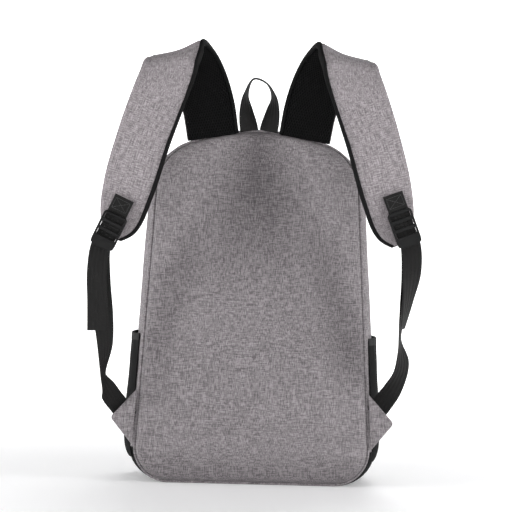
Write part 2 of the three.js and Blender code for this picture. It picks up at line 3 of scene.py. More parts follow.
import bpy
import numpy as np
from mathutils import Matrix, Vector


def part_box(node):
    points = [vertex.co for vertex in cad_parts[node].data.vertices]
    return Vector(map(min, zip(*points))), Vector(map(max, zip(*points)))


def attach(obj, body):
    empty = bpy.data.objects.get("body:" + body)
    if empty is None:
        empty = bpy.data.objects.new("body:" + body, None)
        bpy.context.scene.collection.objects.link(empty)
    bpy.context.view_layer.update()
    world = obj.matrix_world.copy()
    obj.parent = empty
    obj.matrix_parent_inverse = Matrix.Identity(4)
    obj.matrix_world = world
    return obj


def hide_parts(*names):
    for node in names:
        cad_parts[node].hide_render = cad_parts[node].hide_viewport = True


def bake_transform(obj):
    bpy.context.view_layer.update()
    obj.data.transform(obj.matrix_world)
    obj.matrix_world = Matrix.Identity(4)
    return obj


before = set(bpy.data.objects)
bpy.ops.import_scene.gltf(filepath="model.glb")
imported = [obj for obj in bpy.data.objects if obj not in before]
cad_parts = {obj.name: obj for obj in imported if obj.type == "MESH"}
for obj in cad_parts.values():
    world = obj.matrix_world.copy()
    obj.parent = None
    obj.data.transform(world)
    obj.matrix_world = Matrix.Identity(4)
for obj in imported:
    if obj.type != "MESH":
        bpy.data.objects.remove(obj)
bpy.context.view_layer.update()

MM = 0.001

# Camera and studio: the bag stands on a round white table, with a softbox low in front, a lamp
# overhead, a tall softbox on each side, and a lamp behind.
CAMERA_DISTANCE = 2.75  # from the back panel
CAMERA_RISE = math.radians(1.5)
CAMERA_ROLL = math.radians(1.4)
CAMERA_LENS = 153.5
AIM = Vector((0.0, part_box("back_panel")[0][1], 0.29))

camera = bpy.data.objects.new("camera", bpy.data.cameras.new("camera"))
bpy.context.collection.objects.link(camera)
camera.data.lens = CAMERA_LENS
camera.location = AIM + CAMERA_DISTANCE * Vector((0, -math.cos(CAMERA_RISE), math.sin(CAMERA_RISE)))
camera.rotation_euler = (AIM - camera.location).to_track_quat("-Z", "Y").to_euler()
camera.rotation_euler.rotate_axis("Z", CAMERA_ROLL)
bpy.context.scene.camera = camera
bpy.context.scene.view_settings.view_transform = "Standard"


def lamp(name, at, size, watts, target=(0, 0, 0.25)):
    light = bpy.data.objects.new(name, bpy.data.lights.new(name, "AREA"))
    bpy.context.collection.objects.link(light)
    light.data.shape = "RECTANGLE"
    light.data.size, light.data.size_y = size
    light.data.energy = watts
    light.location = at
    light.rotation_euler = (Vector(target) - Vector(at)).to_track_quat("-Z", "Y").to_euler()


lamp("front softbox", (0.0, -1.6, 0.42), (1.3, 0.8), 3)
lamp("top lamp", (0.0, -0.9, 2.2), (1.2, 0.8), 3)
lamp("left softbox", (-1.6, -0.6, 0.5), (0.6, 1.2), 13)
lamp("right softbox", (1.6, -0.6, 0.5), (0.6, 1.2), 13)
lamp("back lamp", (0.5, 1.8, 1.6), (1.2, 1.2), 18)

world = bpy.data.worlds.new("white studio")
bpy.context.scene.world = world
world.use_nodes = True
world.node_tree.nodes["Background"].inputs["Color"].default_value = (1.0, 1.0, 1.0, 1)
world.node_tree.nodes["Background"].inputs["Strength"].default_value = 0.14


def deselect():
    if bpy.context.object and bpy.context.object.mode != "OBJECT":
        bpy.ops.object.mode_set(mode="OBJECT")
    bpy.ops.object.select_all(action="DESELECT")


class Field:
    """One value of a material's nodes. Sums and products of fields add the Math nodes."""

    def __init__(self, surface, socket):
        self.surface, self.socket = surface, socket

    def math(self, operation, *others, turned=False):
        values = [self, *others]
        if turned:
            values.reverse()
        return self.surface.node("ShaderNodeMath", {"operation": operation}, dict(enumerate(values)))

    def __add__(self, other):
        return self.math("ADD", other)

    def __mul__(self, other):
        return self.math("MULTIPLY", other)

    def __sub__(self, other):
        return self.math("SUBTRACT", other)

    def __rsub__(self, other):
        return self.math("SUBTRACT", other, turned=True)

    def __truediv__(self, other):
        return self.math("DIVIDE", other)

    __radd__ = __add__
    __rmul__ = __mul__

    def sin(self):
        return self.math("SINE")

    def power(self, exponent):
        return self.math("POWER", exponent)

    def above(self, low, high):
        """0 under low, 1 over high, and smooth between them."""
        return self.surface.node("ShaderNodeMapRange", {"interpolation_type": "SMOOTHSTEP"},
                                 {"Value": self, "From Min": low, "From Max": high})


class Surface:
    """A material under construction: node() adds a node, look() joins the result to the shader."""

    def __init__(self, name, roughness, **fixed):
        self.material = bpy.data.materials.new(name)
        self.material.use_nodes = True
        self.tree = self.material.node_tree
        self.shader = self.tree.nodes["Principled BSDF"]
        self.shader.inputs["Roughness"].default_value = roughness
        for socket, value in fixed.items():
            self.shader.inputs[socket.replace("_", " ").title().replace("Ior", "IOR")].default_value = value

    def node(self, kind, settings=None, sockets=None, output=0):
        made = self.tree.nodes.new(kind)
        for key, value in (settings or {}).items():
            setattr(made, key, value)
        for key, value in (sockets or {}).items():
            if isinstance(value, Field):
                self.tree.links.new(value.socket, made.inputs[key])
            else:
                made.inputs[key].default_value = value
        return Field(self, made.outputs[output])

    def place(self, scale=(1, 1, 1), uv=False, turn=(0, 0, 0)):
        """Object coordinates, or the piece's own UV map, in metres times scale."""
        start = self.node("ShaderNodeTexCoord", output="UV" if uv else "Object")
        return self.node("ShaderNodeMapping", {}, {"Vector": start, "Scale": scale, "Rotation": turn})

    def noise(self, scale, uv=False, detail=2.0, rough=0.5):
        return self.node("ShaderNodeTexNoise", {}, {"Vector": self.place(scale, uv), "Scale": 1.0,
                                                    "Detail": detail, "Roughness": rough})

    def axes(self, scale=(1, 1, 1), uv=False):
        spread = self.node("ShaderNodeSeparateXYZ", {}, {"Vector": self.place(scale, uv)})
        return [Field(self, socket) for socket in spread.socket.node.outputs]

    def stripes(self, coordinate, pitch):
        """0 to 1 and back over each pitch."""
        return (coordinate * (2 * math.pi / pitch)).sin() * 0.5 + 0.5

    def blend(self, share, first, second):
        mixed = self.tree.nodes.new("ShaderNodeMix")
        mixed.data_type = "RGBA"
        for key, value in ((0, share), (6, first), (7, second)):
            if isinstance(value, Field):
                self.tree.links.new(value.socket, mixed.inputs[key])
            else:
                mixed.inputs[key].default_value = value if key == 0 else (*value, 1)
        return Field(self, mixed.outputs[2])

    def look(self, color=None, roughness=None, bump=None, depth=0.0002, strength=0.5):
        for socket, value in (("Base Color", color), ("Roughness", roughness)):
            if isinstance(value, Field):
                self.tree.links.new(value.socket, self.shader.inputs[socket])
            elif value is not None:
                self.shader.inputs[socket].default_value = (*value, 1)
        if bump is not None:
            normal = self.node("ShaderNodeBump", {}, {"Height": bump, "Distance": depth, "Strength": strength})
            self.tree.links.new(normal.socket, self.shader.inputs["Normal"])
        return self.material


# The table: a round sheet of white card whose rim curves up all round. It glows with painted light: faintly near the
# bag and brightly away from it.
FLOOR_RADIUS, RIM_RADIUS, RIM_HEIGHT, TURNS, RINGS = 4.2, 0.5, 1.6, 96, 30
bpy.ops.mesh.primitive_grid_add(x_subdivisions=TURNS, y_subdivisions=RINGS, size=1)
table = bpy.context.object
table.name = "table"
for vertex in table.data.vertices:
    way = (vertex.co.x + 0.5) * 2 * math.pi
    run = (vertex.co.y + 0.5) * (FLOOR_RADIUS + RIM_RADIUS * math.pi / 2 + RIM_HEIGHT)
    turn = min(max((run - FLOOR_RADIUS) / RIM_RADIUS, 0.0), math.pi / 2)
    climb = max(run - FLOOR_RADIUS - RIM_RADIUS * math.pi / 2, 0.0)
    reach = min(run, FLOOR_RADIUS) + RIM_RADIUS * math.sin(turn)
    vertex.co = (reach * math.cos(way), reach * math.sin(way), RIM_RADIUS * (1 - math.cos(turn)) + climb)
card = Surface("white card", 0.6, emission_strength=1.0)
card_x, card_y, _ = card.axes()
from_bag = (card_x * card_x + card_y * card_y).power(0.5)
# painted light: the card's emission rises from dim within 0.25 m of the bag to bright past 1.3 m
painted_glow = card.blend(from_bag.above(0.25, 1.3), (0.15, 0.15, 0.152), (0.80, 0.80, 0.80))
card.tree.links.new(painted_glow.socket, card.shader.inputs["Emission Color"])
table.data.materials.append(card.look(color=(0.93, 0.93, 0.935)))
for face in table.data.polygons:
    face.use_smooth = True

# Back panel: heathered polyester over foam, sewn to the walls in a piped seam all round.
# The foam is thin in the upper middle and full over the lumbar pad, so the face rises and falls.
BAG_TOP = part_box("back_piping")[1][2]
HALF_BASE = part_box("back_piping")[1][0]
HALF_SHOULDER = 0.130
CROWN_RADIUS = 0.239
SHOULDER_RADIUS = 0.065
BASE_RADIUS = 0.045
BOOT_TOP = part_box("base_panel")[1][2]
LID_HINGE_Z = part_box("front_panel")[1][2]
BACK_SEAM_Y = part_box("main_gusset")[0][1]
ZIP_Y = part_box("lid_gusset")[0][1]
FRONT_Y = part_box("lid_panel")[1][1]
BACK_FACE_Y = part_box("back_panel")[0][1]
# columns of the cloth grids between the outline's stations
COLUMNS = {"boot": 26, "hinge": 28, "shoulder": 58, "crown": 40}
BOOT_AT = COLUMNS["boot"]
HINGE_AT = BOOT_AT + COLUMNS["hinge"]
SHOULDER_AT = HINGE_AT + COLUMNS["shoulder"]
CROWN_AT = SHOULDER_AT + COLUMNS["crown"]


def arc(x, z, radius, start, stop, count):
    angles = np.linspace(start, stop, count)
    return np.stack([x + radius * np.cos(angles), z + radius * np.sin(angles)], axis=1)


def half_outline(bulge=0.0, fall=0.0, inset=0.0):
    """The right half of the bag's outline, from the middle of its base to the middle of its top."""
    half, height = HALF_BASE + bulge - inset, BAG_TOP - fall - inset
    crown, shoulder, corner = CROWN_RADIUS - inset, SHOULDER_RADIUS - inset, BASE_RADIUS - inset
    corner_x, corner_z = half - corner, inset + corner
    shoulder_x = HALF_SHOULDER + bulge - inset - shoulder
    rise = math.sqrt((crown - shoulder) ** 2 - shoulder_x ** 2)
    shoulder_z = height - crown + rise
    run, climb = shoulder_x - corner_x, shoulder_z - corner_z
    side = math.atan2(climb, run) - math.acos((corner - shoulder) / math.hypot(run, climb))
    top = math.atan2(rise, shoulder_x)
    path = np.concatenate([
        [[0.0, inset]],
        arc(corner_x, corner_z, corner, -math.pi / 2, side, 40),
        arc(shoulder_x, shoulder_z, shoulder, side, top, 60),
        arc(0.0, height - crown, crown, top, math.pi / 2, 60)[1:]])
    steps = np.r_[0.0, np.cumsum(np.hypot(*np.diff(path, axis=0).T))]
    shoulder_middle = shoulder_z + shoulder * math.sin((side + top) / 2)
    stops = [0.0]
    for z in (BOOT_TOP, LID_HINGE_Z, shoulder_middle):
        stops.append(np.interp(z, path[1:, 1], steps[1:]))
    stops.append(steps[-1])
    at = [0.0]
    for low, high, count in zip(stops, stops[1:], COLUMNS.values()):
        at.extend(np.linspace(low, high, count + 1)[1:])
    return np.stack([np.interp(at, steps, path[:, 0]), np.interp(at, steps, path[:, 1])], axis=1)


def whole_outline(**shape):
    """Both halves, from the right of the base's middle round the top to its left."""
    right = half_outline(**shape)
    return np.concatenate([right, right[-2::-1] * (-1, 1)])


def cloth(name, points, size=(1.0, 1.0)):
    """A grid of cloth with a point for each place in points. Its UV map is in metres over size."""
    rows, columns = points.shape[:2]
    deselect()
    bpy.ops.mesh.primitive_grid_add(x_subdivisions=columns - 1, y_subdivisions=rows - 1, size=1)
    made = bpy.context.object
    made.name = made.data.name = name
    made.data.vertices.foreach_set("co", np.ascontiguousarray(points, dtype=np.float32).ravel())
    uv = made.data.uv_layers.active.data
    flat = np.empty(len(uv) * 2, dtype=np.float32)
    uv.foreach_get("uv", flat)
    uv.foreach_set("uv", (flat.reshape(-1, 2) * size).ravel())
    made.data.update()
    return made


def modify(piece, kind, **settings):
    """Adds a modifier and applies it."""
    deselect()
    piece.select_set(True)
    bpy.context.view_layer.objects.active = piece
    added = piece.modifiers.new(kind.lower(), kind)
    for key, value in settings.items():
        setattr(added, key, value)
    bpy.ops.object.modifier_apply(modifier=added.name)


def outward(piece, merge=0.00002):
    """Merges doubled points and turns all faces outwards."""
    deselect()
    piece.select_set(True)
    bpy.context.view_layer.objects.active = piece
    bpy.ops.object.mode_set(mode="EDIT")
    bpy.ops.mesh.select_all(action="SELECT")
    bpy.ops.mesh.remove_doubles(threshold=merge)
    bpy.ops.mesh.normals_make_consistent(inside=False)
    bpy.ops.object.mode_set(mode="OBJECT")


def smooth(piece, degrees=40):
    deselect()
    piece.select_set(True)
    bpy.context.view_layer.objects.active = piece
    bpy.ops.object.shade_smooth_by_angle(angle=math.radians(degrees))


def dress(piece, *materials):
    piece.data.materials.clear()
    for material in materials:
        piece.data.materials.append(material)


def stand_for(piece, body, slot, *nodes):
    if body:
        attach(piece, body)
    if nodes:
        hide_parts(*nodes)


def patch(low, right, high, left):
    """A grid of points inside four edges that meet at their ends (low and high run the same way)."""
    u = np.linspace(0, 1, len(low))[None, :, None]
    v = np.linspace(0, 1, len(left))[:, None, None]
    ruled = (1 - v) * low[None] + v * high[None] + (1 - u) * left[:, None] + u * right[:, None]
    corners = ((1 - v) * ((1 - u) * low[0] + u * low[-1]) + v * ((1 - u) * high[0] + u * high[-1]))
    return ruled - corners


def respace(points, count):
    """The same curve with evenly spaced points."""
    steps = np.r_[0.0, np.cumsum(np.linalg.norm(np.diff(points, axis=0), axis=1))]
    at = np.linspace(0, steps[-1], count)
    return np.stack([np.interp(at, steps, points[:, k]) for k in range(points.shape[1])], axis=1)


def ramp(value, low, high):
    share = np.clip((value - low) / (high - low), 0, 1)
    return share * share * (3 - 2 * share)


def edge_distance(grid, loop):
    """How far each point of a flat grid is from its outline."""
    points = grid.reshape(-1, 2)
    start, stop = loop, np.roll(loop, -1, axis=0)
    run = stop - start
    length = np.maximum((run ** 2).sum(1), 1e-12)
    best = np.full(len(points), 9.0)
    for a, d, n in zip(start, run, length):
        share = np.clip(((points - a) @ d) / n, 0, 1)[:, None]
        best = np.minimum(best, np.linalg.norm(points - a - share * d, axis=1))
    return best.reshape(grid.shape[:2])


def outline_patch(shape, rows, columns, floor=None, ceiling=None):
    """Flat grid (x, z) inside the outline, between two heights if they are given."""
    right = half_outline(**shape)
    low_at = HINGE_AT if floor else BOOT_AT // 2 + 8
    high_at = HINGE_AT if ceiling else SHOULDER_AT
    mirror = np.array([-1.0, 1.0])
    side = respace(right[low_at:high_at + 1], rows)
    low = np.linspace(side[0] * mirror, side[0], columns)
    if not floor:
        under = right[:low_at + 1]
        low = respace(np.concatenate([under[::-1] * mirror, under[1:]]), columns)
    high = np.linspace(side[-1] * mirror, side[-1], columns)
    if not ceiling:
        over = right[high_at:]
        high = respace(np.concatenate([over * mirror, over[-2::-1]]), columns)
    return patch(low, side, high, side * mirror)


def in_depth(grid, y):
    """Flat (x, z) points at the depths y."""
    return np.stack([grid[..., 0], np.broadcast_to(y, grid.shape[:-1]), grid[..., 1]], axis=-1)


# Heathered cloth: each yarn is spun from light and dark fibres, so the weave shows
# short streaks along the warp and fainter ones across it.
def heather_cloth(name, light, dark, uv=False, shaded=False):
    surface = Surface(name, 0.88, sheen_weight=0.06, sheen_roughness=0.6, specular_ior_level=0.25)
    along, across = (125.0, 1500.0)
    if uv:
        warp_scale, weft_scale, fine_scale = (along, across, 1), (across, along, 1), (1800, 1800, 1)
    else:
        warp_scale, weft_scale, fine_scale = (across, across, along), (along, along, across), (1800, 1800, 1800)
    warp = surface.noise(warp_scale, uv, detail=3.0)
    weft = surface.noise(weft_scale, uv, detail=3.0)
    fine = surface.noise(fine_scale, uv, detail=1.0)
    broad = surface.noise((9, 9, 9) if not uv else (9, 9, 1), uv)
    streak = warp * 0.47 + weft * 0.39 + fine * 0.14
    share = streak.above(0.42, 0.59)
    tone = surface.blend(share, dark, light)
    tone = surface.blend(broad.above(0.3, 0.75) * 0.10, tone, light)
    if shaded:
        deep = surface.blend(share, [tone * 0.45 for tone in dark], [tone * 1.5 for tone in dark])
        x, _, z = surface.axes()
        # channel is 0 on the hollow's slanting edges: 0.07 from the middle at the top, 0.13 at the loins
        channel = x.math("ABSOLUTE") + z * 0.316 - 0.184
        middle = 1 - channel.above(-0.065, 0.012)
        valley = channel.above(-0.045, -0.008) * (1 - channel.above(-0.004, 0.030))
        tone = surface.blend(z.above(0.20, 0.42) * middle * 0.98, tone, deep)
        tone = surface.blend(valley * z.above(0.11, 0.19) * (1 - z.above(0.27, 0.36)) * 0.50, tone, deep)
        tone = surface.blend((1 - z.above(0.004, 0.050)) * 0.55, tone, deep)
    return surface.look(color=tone, roughness=share * 0.1 + 0.82, bump=streak, depth=0.0006, strength=0.55)


HEATHER_LIGHT = (0.300, 0.277, 0.287)
HEATHER_DARK = (0.100, 0.090, 0.095)
heather = heather_cloth("grey heather", HEATHER_LIGHT, HEATHER_DARK)
# imitated shading, not a darker cloth: the hollow, its slanting edges and the base are darkened
# because the relief alone is too shallow to shade them
shaded_heather = heather_cloth("shaded heather", HEATHER_LIGHT, HEATHER_DARK, shaded=True)
lining_surface = Surface("black lining", 0.7, specular_ior_level=0.2)
weave = lining_surface.noise((700, 700, 700), detail=1.0)
lining = lining_surface.look(color=lining_surface.blend(weave, (0.012, 0.012, 0.013), (0.03, 0.03, 0.032)),
                             bump=weave, depth=0.0002)


def panel_relief(x, z):
    """How far the foam stands out from the panel's mean face, in metres."""
    across = np.abs(x)
    channel = (across - 0.070) * 0.954 + (z - 0.360) * 0.301
    upper = ramp(z, 0.13, 0.23)
    valley = -0.0040 * np.exp(-(channel / 0.018) ** 2) * upper
    middle = ramp(-channel, -0.005, 0.035)
    hollow = -0.0065 * middle * ramp(z, 0.17, 0.40)
    belly = 0.0125 * np.exp(-((z - 0.125) / 0.085) ** 2) * (1 - np.clip(across / 0.155, 0, 1) ** 3)
    shelf = 0.0105 * ramp(channel, -0.002, 0.038) * upper
    tuck = -0.009 * ramp(0.045 - z, 0.0, 0.045) ** 1.5
    ripples = 0.0006 * np.sin(x * 61 + z * 23 + 1.3) * np.sin(z * 47 - x * 19)
    return np.maximum(valley + hollow + belly + shelf + tuck + ripples, -0.0065)


PANEL_SEAM_Y = BACK_SEAM_Y - 0.0035
panel_shape = {"inset": 0.0033}
panel_grid = outline_patch(panel_shape, 190, 130)
rim = edge_distance(panel_grid, whole_outline(**panel_shape))
roll = np.sqrt(np.clip(1 - (1 - np.clip(rim / 0.013, 0, 1)) ** 2, 0, 1))
relief = panel_relief(panel_grid[..., 0], panel_grid[..., 1])
stand = (PANEL_SEAM_Y - BACK_FACE_Y) * roll + ramp(rim, 0.0, 0.05) * relief
back_panel = cloth("back_panel_cloth", in_depth(panel_grid, PANEL_SEAM_Y - stand))
modify(back_panel, "SOLIDIFY", thickness=0.003, offset=-1)
outward(back_panel)
smooth(back_panel, 60)
dress(back_panel, shaded_heather)
stand_for(back_panel, "root", "heather_cloth", "back_panel")


# Piping: a cord wrapped in a strip of the same heather, caught in the seam round the back panel.
def tube(name, path, radius, closed=False, sides=8):
    """A round cord along a path of points."""
    line = bpy.data.curves.new(name, "CURVE")
    line.dimensions = "3D"
    line.bevel_depth = radius
    line.bevel_resolution = sides // 2 - 2
    line.use_fill_caps = not closed
    spline = line.splines.new("POLY")
    spline.points.add(len(path) - 1)
    spline.points.foreach_set("co", np.c_[path, np.ones(len(path))].ravel())
    spline.use_cyclic_u = closed
    cord = bpy.data.objects.new(name, line)
    bpy.context.collection.objects.link(cord)
    deselect()
    cord.select_set(True)
    bpy.context.view_layer.objects.active = cord
    bpy.ops.object.convert(target="MESH")
    smooth(bpy.context.object, 60)
    return bpy.context.object


PIPING_RADIUS = 0.0017
piping_path = in_depth(whole_outline(inset=PIPING_RADIUS)[:-1], BACK_SEAM_Y - PIPING_RADIUS)
piping = tube("piping", piping_path, PIPING_RADIUS, closed=True)
outward(piping)
dress(piping, heather)
stand_for(piping, "root", "heather_cloth", "back_piping")

# Walls: one long strip of padded heather from base to base over the top, which the main zip
# splits from the lid. They stand out past the back seam, and pucker where they are sewn.
WALL_THICKNESS = 0.0026
SIDE_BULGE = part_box("main_gusset")[1][0] - HALF_BASE
CROWN_FALL_FRONT = BAG_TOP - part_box("lid_panel")[1][2]


# depth, how far the sides stand out there, and how far the top has fallen
WALL_STATIONS = np.array([
    [BACK_SEAM_Y, 0.0, 0.0],
    [BACK_SEAM_Y + 0.010, 0.5 * SIDE_BULGE, 0.001],
    [BACK_SEAM_Y + 0.024, SIDE_BULGE, 0.0025],
    [ZIP_Y, SIDE_BULGE, 0.010],
    [FRONT_Y, 0.5 * SIDE_BULGE, CROWN_FALL_FRONT]])


def wall_shape(y):
    """The wall's bulge and fall at one depth, eased between the stations."""
    near = np.clip(y + np.linspace(-0.005, 0.005, 5), BACK_SEAM_Y, FRONT_Y)
    bulge, fall = (np.interp(near, WALL_STATIONS[:, 0], WALL_STATIONS[:, k]).mean() for k in (1, 2))
    return {"bulge": bulge, "fall": fall}


FRONT_SHAPE = {"bulge": WALL_STATIONS[-1, 1], "fall": CROWN_FALL_FRONT}
SEAM_ALLOWANCE = (0.0110, 0.0070)  # insets of the wall's edge, which lies flat behind the back panel


def wall_grid(start, stop, back, front, rows, puckers=1.0):
    """Points on the wall between two columns of the outline, from the depth back to the depth front."""
    depths = np.linspace(back, front, rows)
    turned_in = 0
    if back == BACK_SEAM_Y:
        turned_in = len(SEAM_ALLOWANCE)
        depths = np.r_[back + 0.0008, back + 0.0005, depths]
    grid = []
    for row, y in enumerate(depths):
        share = (y - BACK_SEAM_Y) / (FRONT_Y - BACK_SEAM_Y)
        at_front = max(0.0, (share - 0.93) / 0.07)
        at_back = max(0.0, (0.035 - share) / 0.035)
        rounding = 0.006 * at_front ** 2 + 0.0034 * at_back ** 2
        if row < turned_in:
            rounding = SEAM_ALLOWANCE[row]
        shape = {**wall_shape(y), "inset": rounding}
        if start >= 0:
            grid.append(whole_outline(**shape)[start:stop + 1])
        else:
            right = half_outline(**shape)
            grid.append(np.concatenate([(right * (-1, 1))[-start:0:-1], right[:stop + 1]]))
    grid = in_depth(np.array(grid), depths[:, None])
    along = np.linspace(0, 1, grid.shape[1])[None, :] * grid.shape[1]
    share = (grid[..., 1] - BACK_SEAM_Y) / (FRONT_Y - BACK_SEAM_Y)
    wave = np.sin(along * 0.62) * np.sin(along * 0.173 + 1.0) * np.exp(-share / 0.10) * 0.0006
    slack = np.sin(along * 0.09 + 4 * share) * np.sin(3.1 * share + along * 0.031) * 0.0010
    return grid + inwards(grid) * (wave + slack)[..., None] * puckers


def inwards(grid):
    """Unit directions square to the grid's surface, pointing at the bag's middle."""
    across = np.gradient(grid, axis=0)
    along = np.gradient(grid, axis=1)
    square = np.cross(along, across)
    square /= np.maximum(np.linalg.norm(square, axis=-1, keepdims=True), 1e-9)
    middle = np.array([0.0, grid[..., 1].mean(), 0.2]) - grid
    return square * np.sign((square * middle).sum(-1, keepdims=True))


def shell(name, points, material, body, slot, *nodes, thickness=WALL_THICKNESS, inner=None):
    """A cloth wall: the grid is its outer face, and the lining its inner face."""
    size = (np.linalg.norm(np.diff(points[0], axis=0), axis=1).sum(),
            np.linalg.norm(np.diff(points[:, 0], axis=0), axis=1).sum())
    piece = cloth(name, points, size)
    square = inwards(points)[points.shape[0] // 2, points.shape[1] // 2]
    normal = piece.data.vertices[(points.shape[0] // 2) * points.shape[1] + points.shape[1] // 2].normal
    side = -1 if normal.dot(Vector(square)) < 0 else 1
    dress(piece, inner or lining, material)
    modify(piece, "SOLIDIFY", thickness=thickness, offset=side, material_offset=1, material_offset_rim=1)
    outward(piece)
    smooth(piece, 50)
    stand_for(piece, body, slot, *nodes)
    return piece


OUTLINE_END = 2 * CROWN_AT
ZIP_HALF = 0.004  # from the middle of the zip to the cloth on each side
BEFORE_ZIP, PAST_ZIP = ZIP_Y - ZIP_HALF, ZIP_Y + ZIP_HALF
shell("wall_back", wall_grid(BOOT_AT, OUTLINE_END - BOOT_AT, BACK_SEAM_Y, BEFORE_ZIP, 40),
      heather, "root", "heather_cloth", "main_gusset")
shell("wall_left", wall_grid(BOOT_AT, HINGE_AT, BEFORE_ZIP, FRONT_Y, 16), heather, "root", "heather_cloth")
shell("wall_right", wall_grid(OUTLINE_END - HINGE_AT, OUTLINE_END - BOOT_AT, BEFORE_ZIP, FRONT_Y, 16),
      heather, "root", "heather_cloth")
shell("wall_lid", wall_grid(HINGE_AT, OUTLINE_END - HINGE_AT, PAST_ZIP, FRONT_Y, 16),
      heather, "lid", "heather_cloth", "lid_gusset")

# Base: a boot of hard-wearing black cloth round the bottom of the walls.
black_surface = Surface("black cloth", 0.85, specular_ior_level=0.1)
black_weave = black_surface.noise((900, 900, 900), detail=2.0)
black_wear = black_surface.noise((25, 25, 25), detail=3.0)
black_tone = black_surface.blend(black_weave, (0.002, 0.002, 0.0021), (0.007, 0.007, 0.0073))
black_cloth = black_surface.look(
    color=black_surface.blend(black_wear.above(0.4, 0.8) * 0.25, black_tone, (0.011, 0.011, 0.0114)),
    roughness=black_weave * 0.15 + 0.68, bump=black_weave, depth=0.0003, strength=0.6)
shell("base_boot", wall_grid(-BOOT_AT, BOOT_AT, BACK_SEAM_Y, FRONT_Y, 44), black_cloth,
      "root", "black_cloth", "base_panel")

# Front panel and lid: heather sewn to the walls' front edges, slightly domed, with a black piped seam.
FOLD_ROOM = 0.0030  # the lid's padding stops short of the fold it hangs from


def front_cloth(name, body, node, rows, columns, dome, **span):
    shape = {**FRONT_SHAPE, "inset": 0.0058}
    grid = outline_patch(shape, rows, columns, **span)
    rim = edge_distance(grid, whole_outline(**shape))
    if "floor" in span:
        grid[..., 1] += FOLD_ROOM * np.clip(1 - (grid[..., 1] - LID_HINGE_Z) / 0.03, 0, 1)
    swell = dome * np.sqrt(np.clip(1 - (1 - np.clip(rim / 0.045, 0, 1)) ** 2, 0, 1)) - dome
    slack = 0.0006 * np.sin(grid[..., 0] * 53 + 2 * grid[..., 1]) * np.sin(grid[..., 1] * 41 + 1.0)
    return shell(name, in_depth(grid, FRONT_Y - 0.0005 + swell + slack * ramp(rim, 0.0, 0.03)), heather, body,
                 "heather_cloth", node)


front = front_cloth("front_cloth", "root", "front_panel", 60, 90, 0.002, ceiling=LID_HINGE_Z)
front_cloth("lid_cloth", "lid", "lid_panel", 110, 90, 0.002, floor=LID_HINGE_Z)

# A thin strip of the same cloth over the fold joins the lid to the front.
fold_half = half_outline(**FRONT_SHAPE, inset=0.0075)[HINGE_AT][0]
fold_rise, fold_across = np.meshgrid(np.linspace(-0.006, 0.008, 15),
                                     np.linspace(-fold_half, fold_half, 60), indexing="ij")
fold_depth = np.full_like(fold_rise, FRONT_Y - 0.0003)
fold_points = np.stack([fold_across, fold_depth, LID_HINGE_Z + fold_rise], axis=-1)
fold = shell("lid_fold", fold_points, heather, None, "heather_cloth", thickness=0.0005, inner=heather)
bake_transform(fold)
front_seam = in_depth(whole_outline(**FRONT_SHAPE, inset=0.0055), FRONT_Y - 0.0012)
for name, body, start, stop in (("lid_seam", "lid", HINGE_AT, OUTLINE_END - HINGE_AT),
                                ("front_seam_left", "root", 0, HINGE_AT),
                                ("front_seam_right", "root", OUTLINE_END - HINGE_AT, OUTLINE_END)):
    cord = tube(name, front_seam[start:stop + 1], 0.0016)
    outward(cord)
    dress(cord, black_cloth)
    stand_for(cord, body, "black_cloth")


# Straps: padded heather outside, air mesh underneath, and a black binding over the inner edge.
# Each is one long pad, sewn into the top seam, that folds over and narrows to its buckle.
def spline(points, count):
    """A smooth curve through rows of numbers, whose first three columns are a place."""
    points = np.array(points, float)
    points = np.vstack([2 * points[0] - points[1], points, 2 * points[-1] - points[-2]])
    knots = np.r_[0.0, np.cumsum(np.sqrt(np.linalg.norm(np.diff(points[:, :3], axis=0), axis=1)))]
    at = np.linspace(0, len(points) - 3, count)
    curve = []
    for value in at:
        i = min(int(value), len(points) - 4)
        t = knots[i:i + 4]
        here = t[1] + (value - i) * (t[2] - t[1])
        level = list(points[i:i + 4])
        for spans in (((0, 1), (1, 2), (2, 3)), ((0, 2), (1, 3)), ((1, 2),)):
            level = [((t[high] - here) * level[k] + (here - t[low]) * level[k + 1]) / (t[high] - t[low])
                     for k, (low, high) in enumerate(spans)]
        curve.append(level[0])
    return np.array(curve)


class Route:
    """The line of a band: its middle, half width, and the directions across it and out of its face."""

    def __init__(self, points, count):
        rows = spline([[x * MM, y * MM, z * MM, *across, half * MM] for x, y, z, across, half in points], count)
        self.middle, across, self.half = rows[:, :3], rows[:, 3:6], rows[:, 6]
        along = np.gradient(self.middle, axis=0)
        along /= np.linalg.norm(along, axis=1, keepdims=True)
        across = across - along * (across * along).sum(1, keepdims=True)
        self.across = across / np.linalg.norm(across, axis=1, keepdims=True)
        self.out = np.cross(along, self.across)
        self.steps = np.r_[0.0, np.cumsum(np.linalg.norm(np.diff(self.middle, axis=0), axis=1))]
        self.share = self.steps / self.steps[-1]

    def mirrored(self):
        twin = object.__new__(Route)
        flip = np.array([-1.0, 1.0, 1.0])
        twin.middle, twin.across, twin.out = self.middle * flip, self.across * flip, self.out * flip
        twin.half, twin.steps, twin.share = self.half, self.steps, self.share
        return twin

    def place(self, across, out):
        """Points at these distances across and out from the middle, one row for each distance."""
        return self.middle[None] + across[..., None] * self.across[None] + out[..., None] * self.out[None]


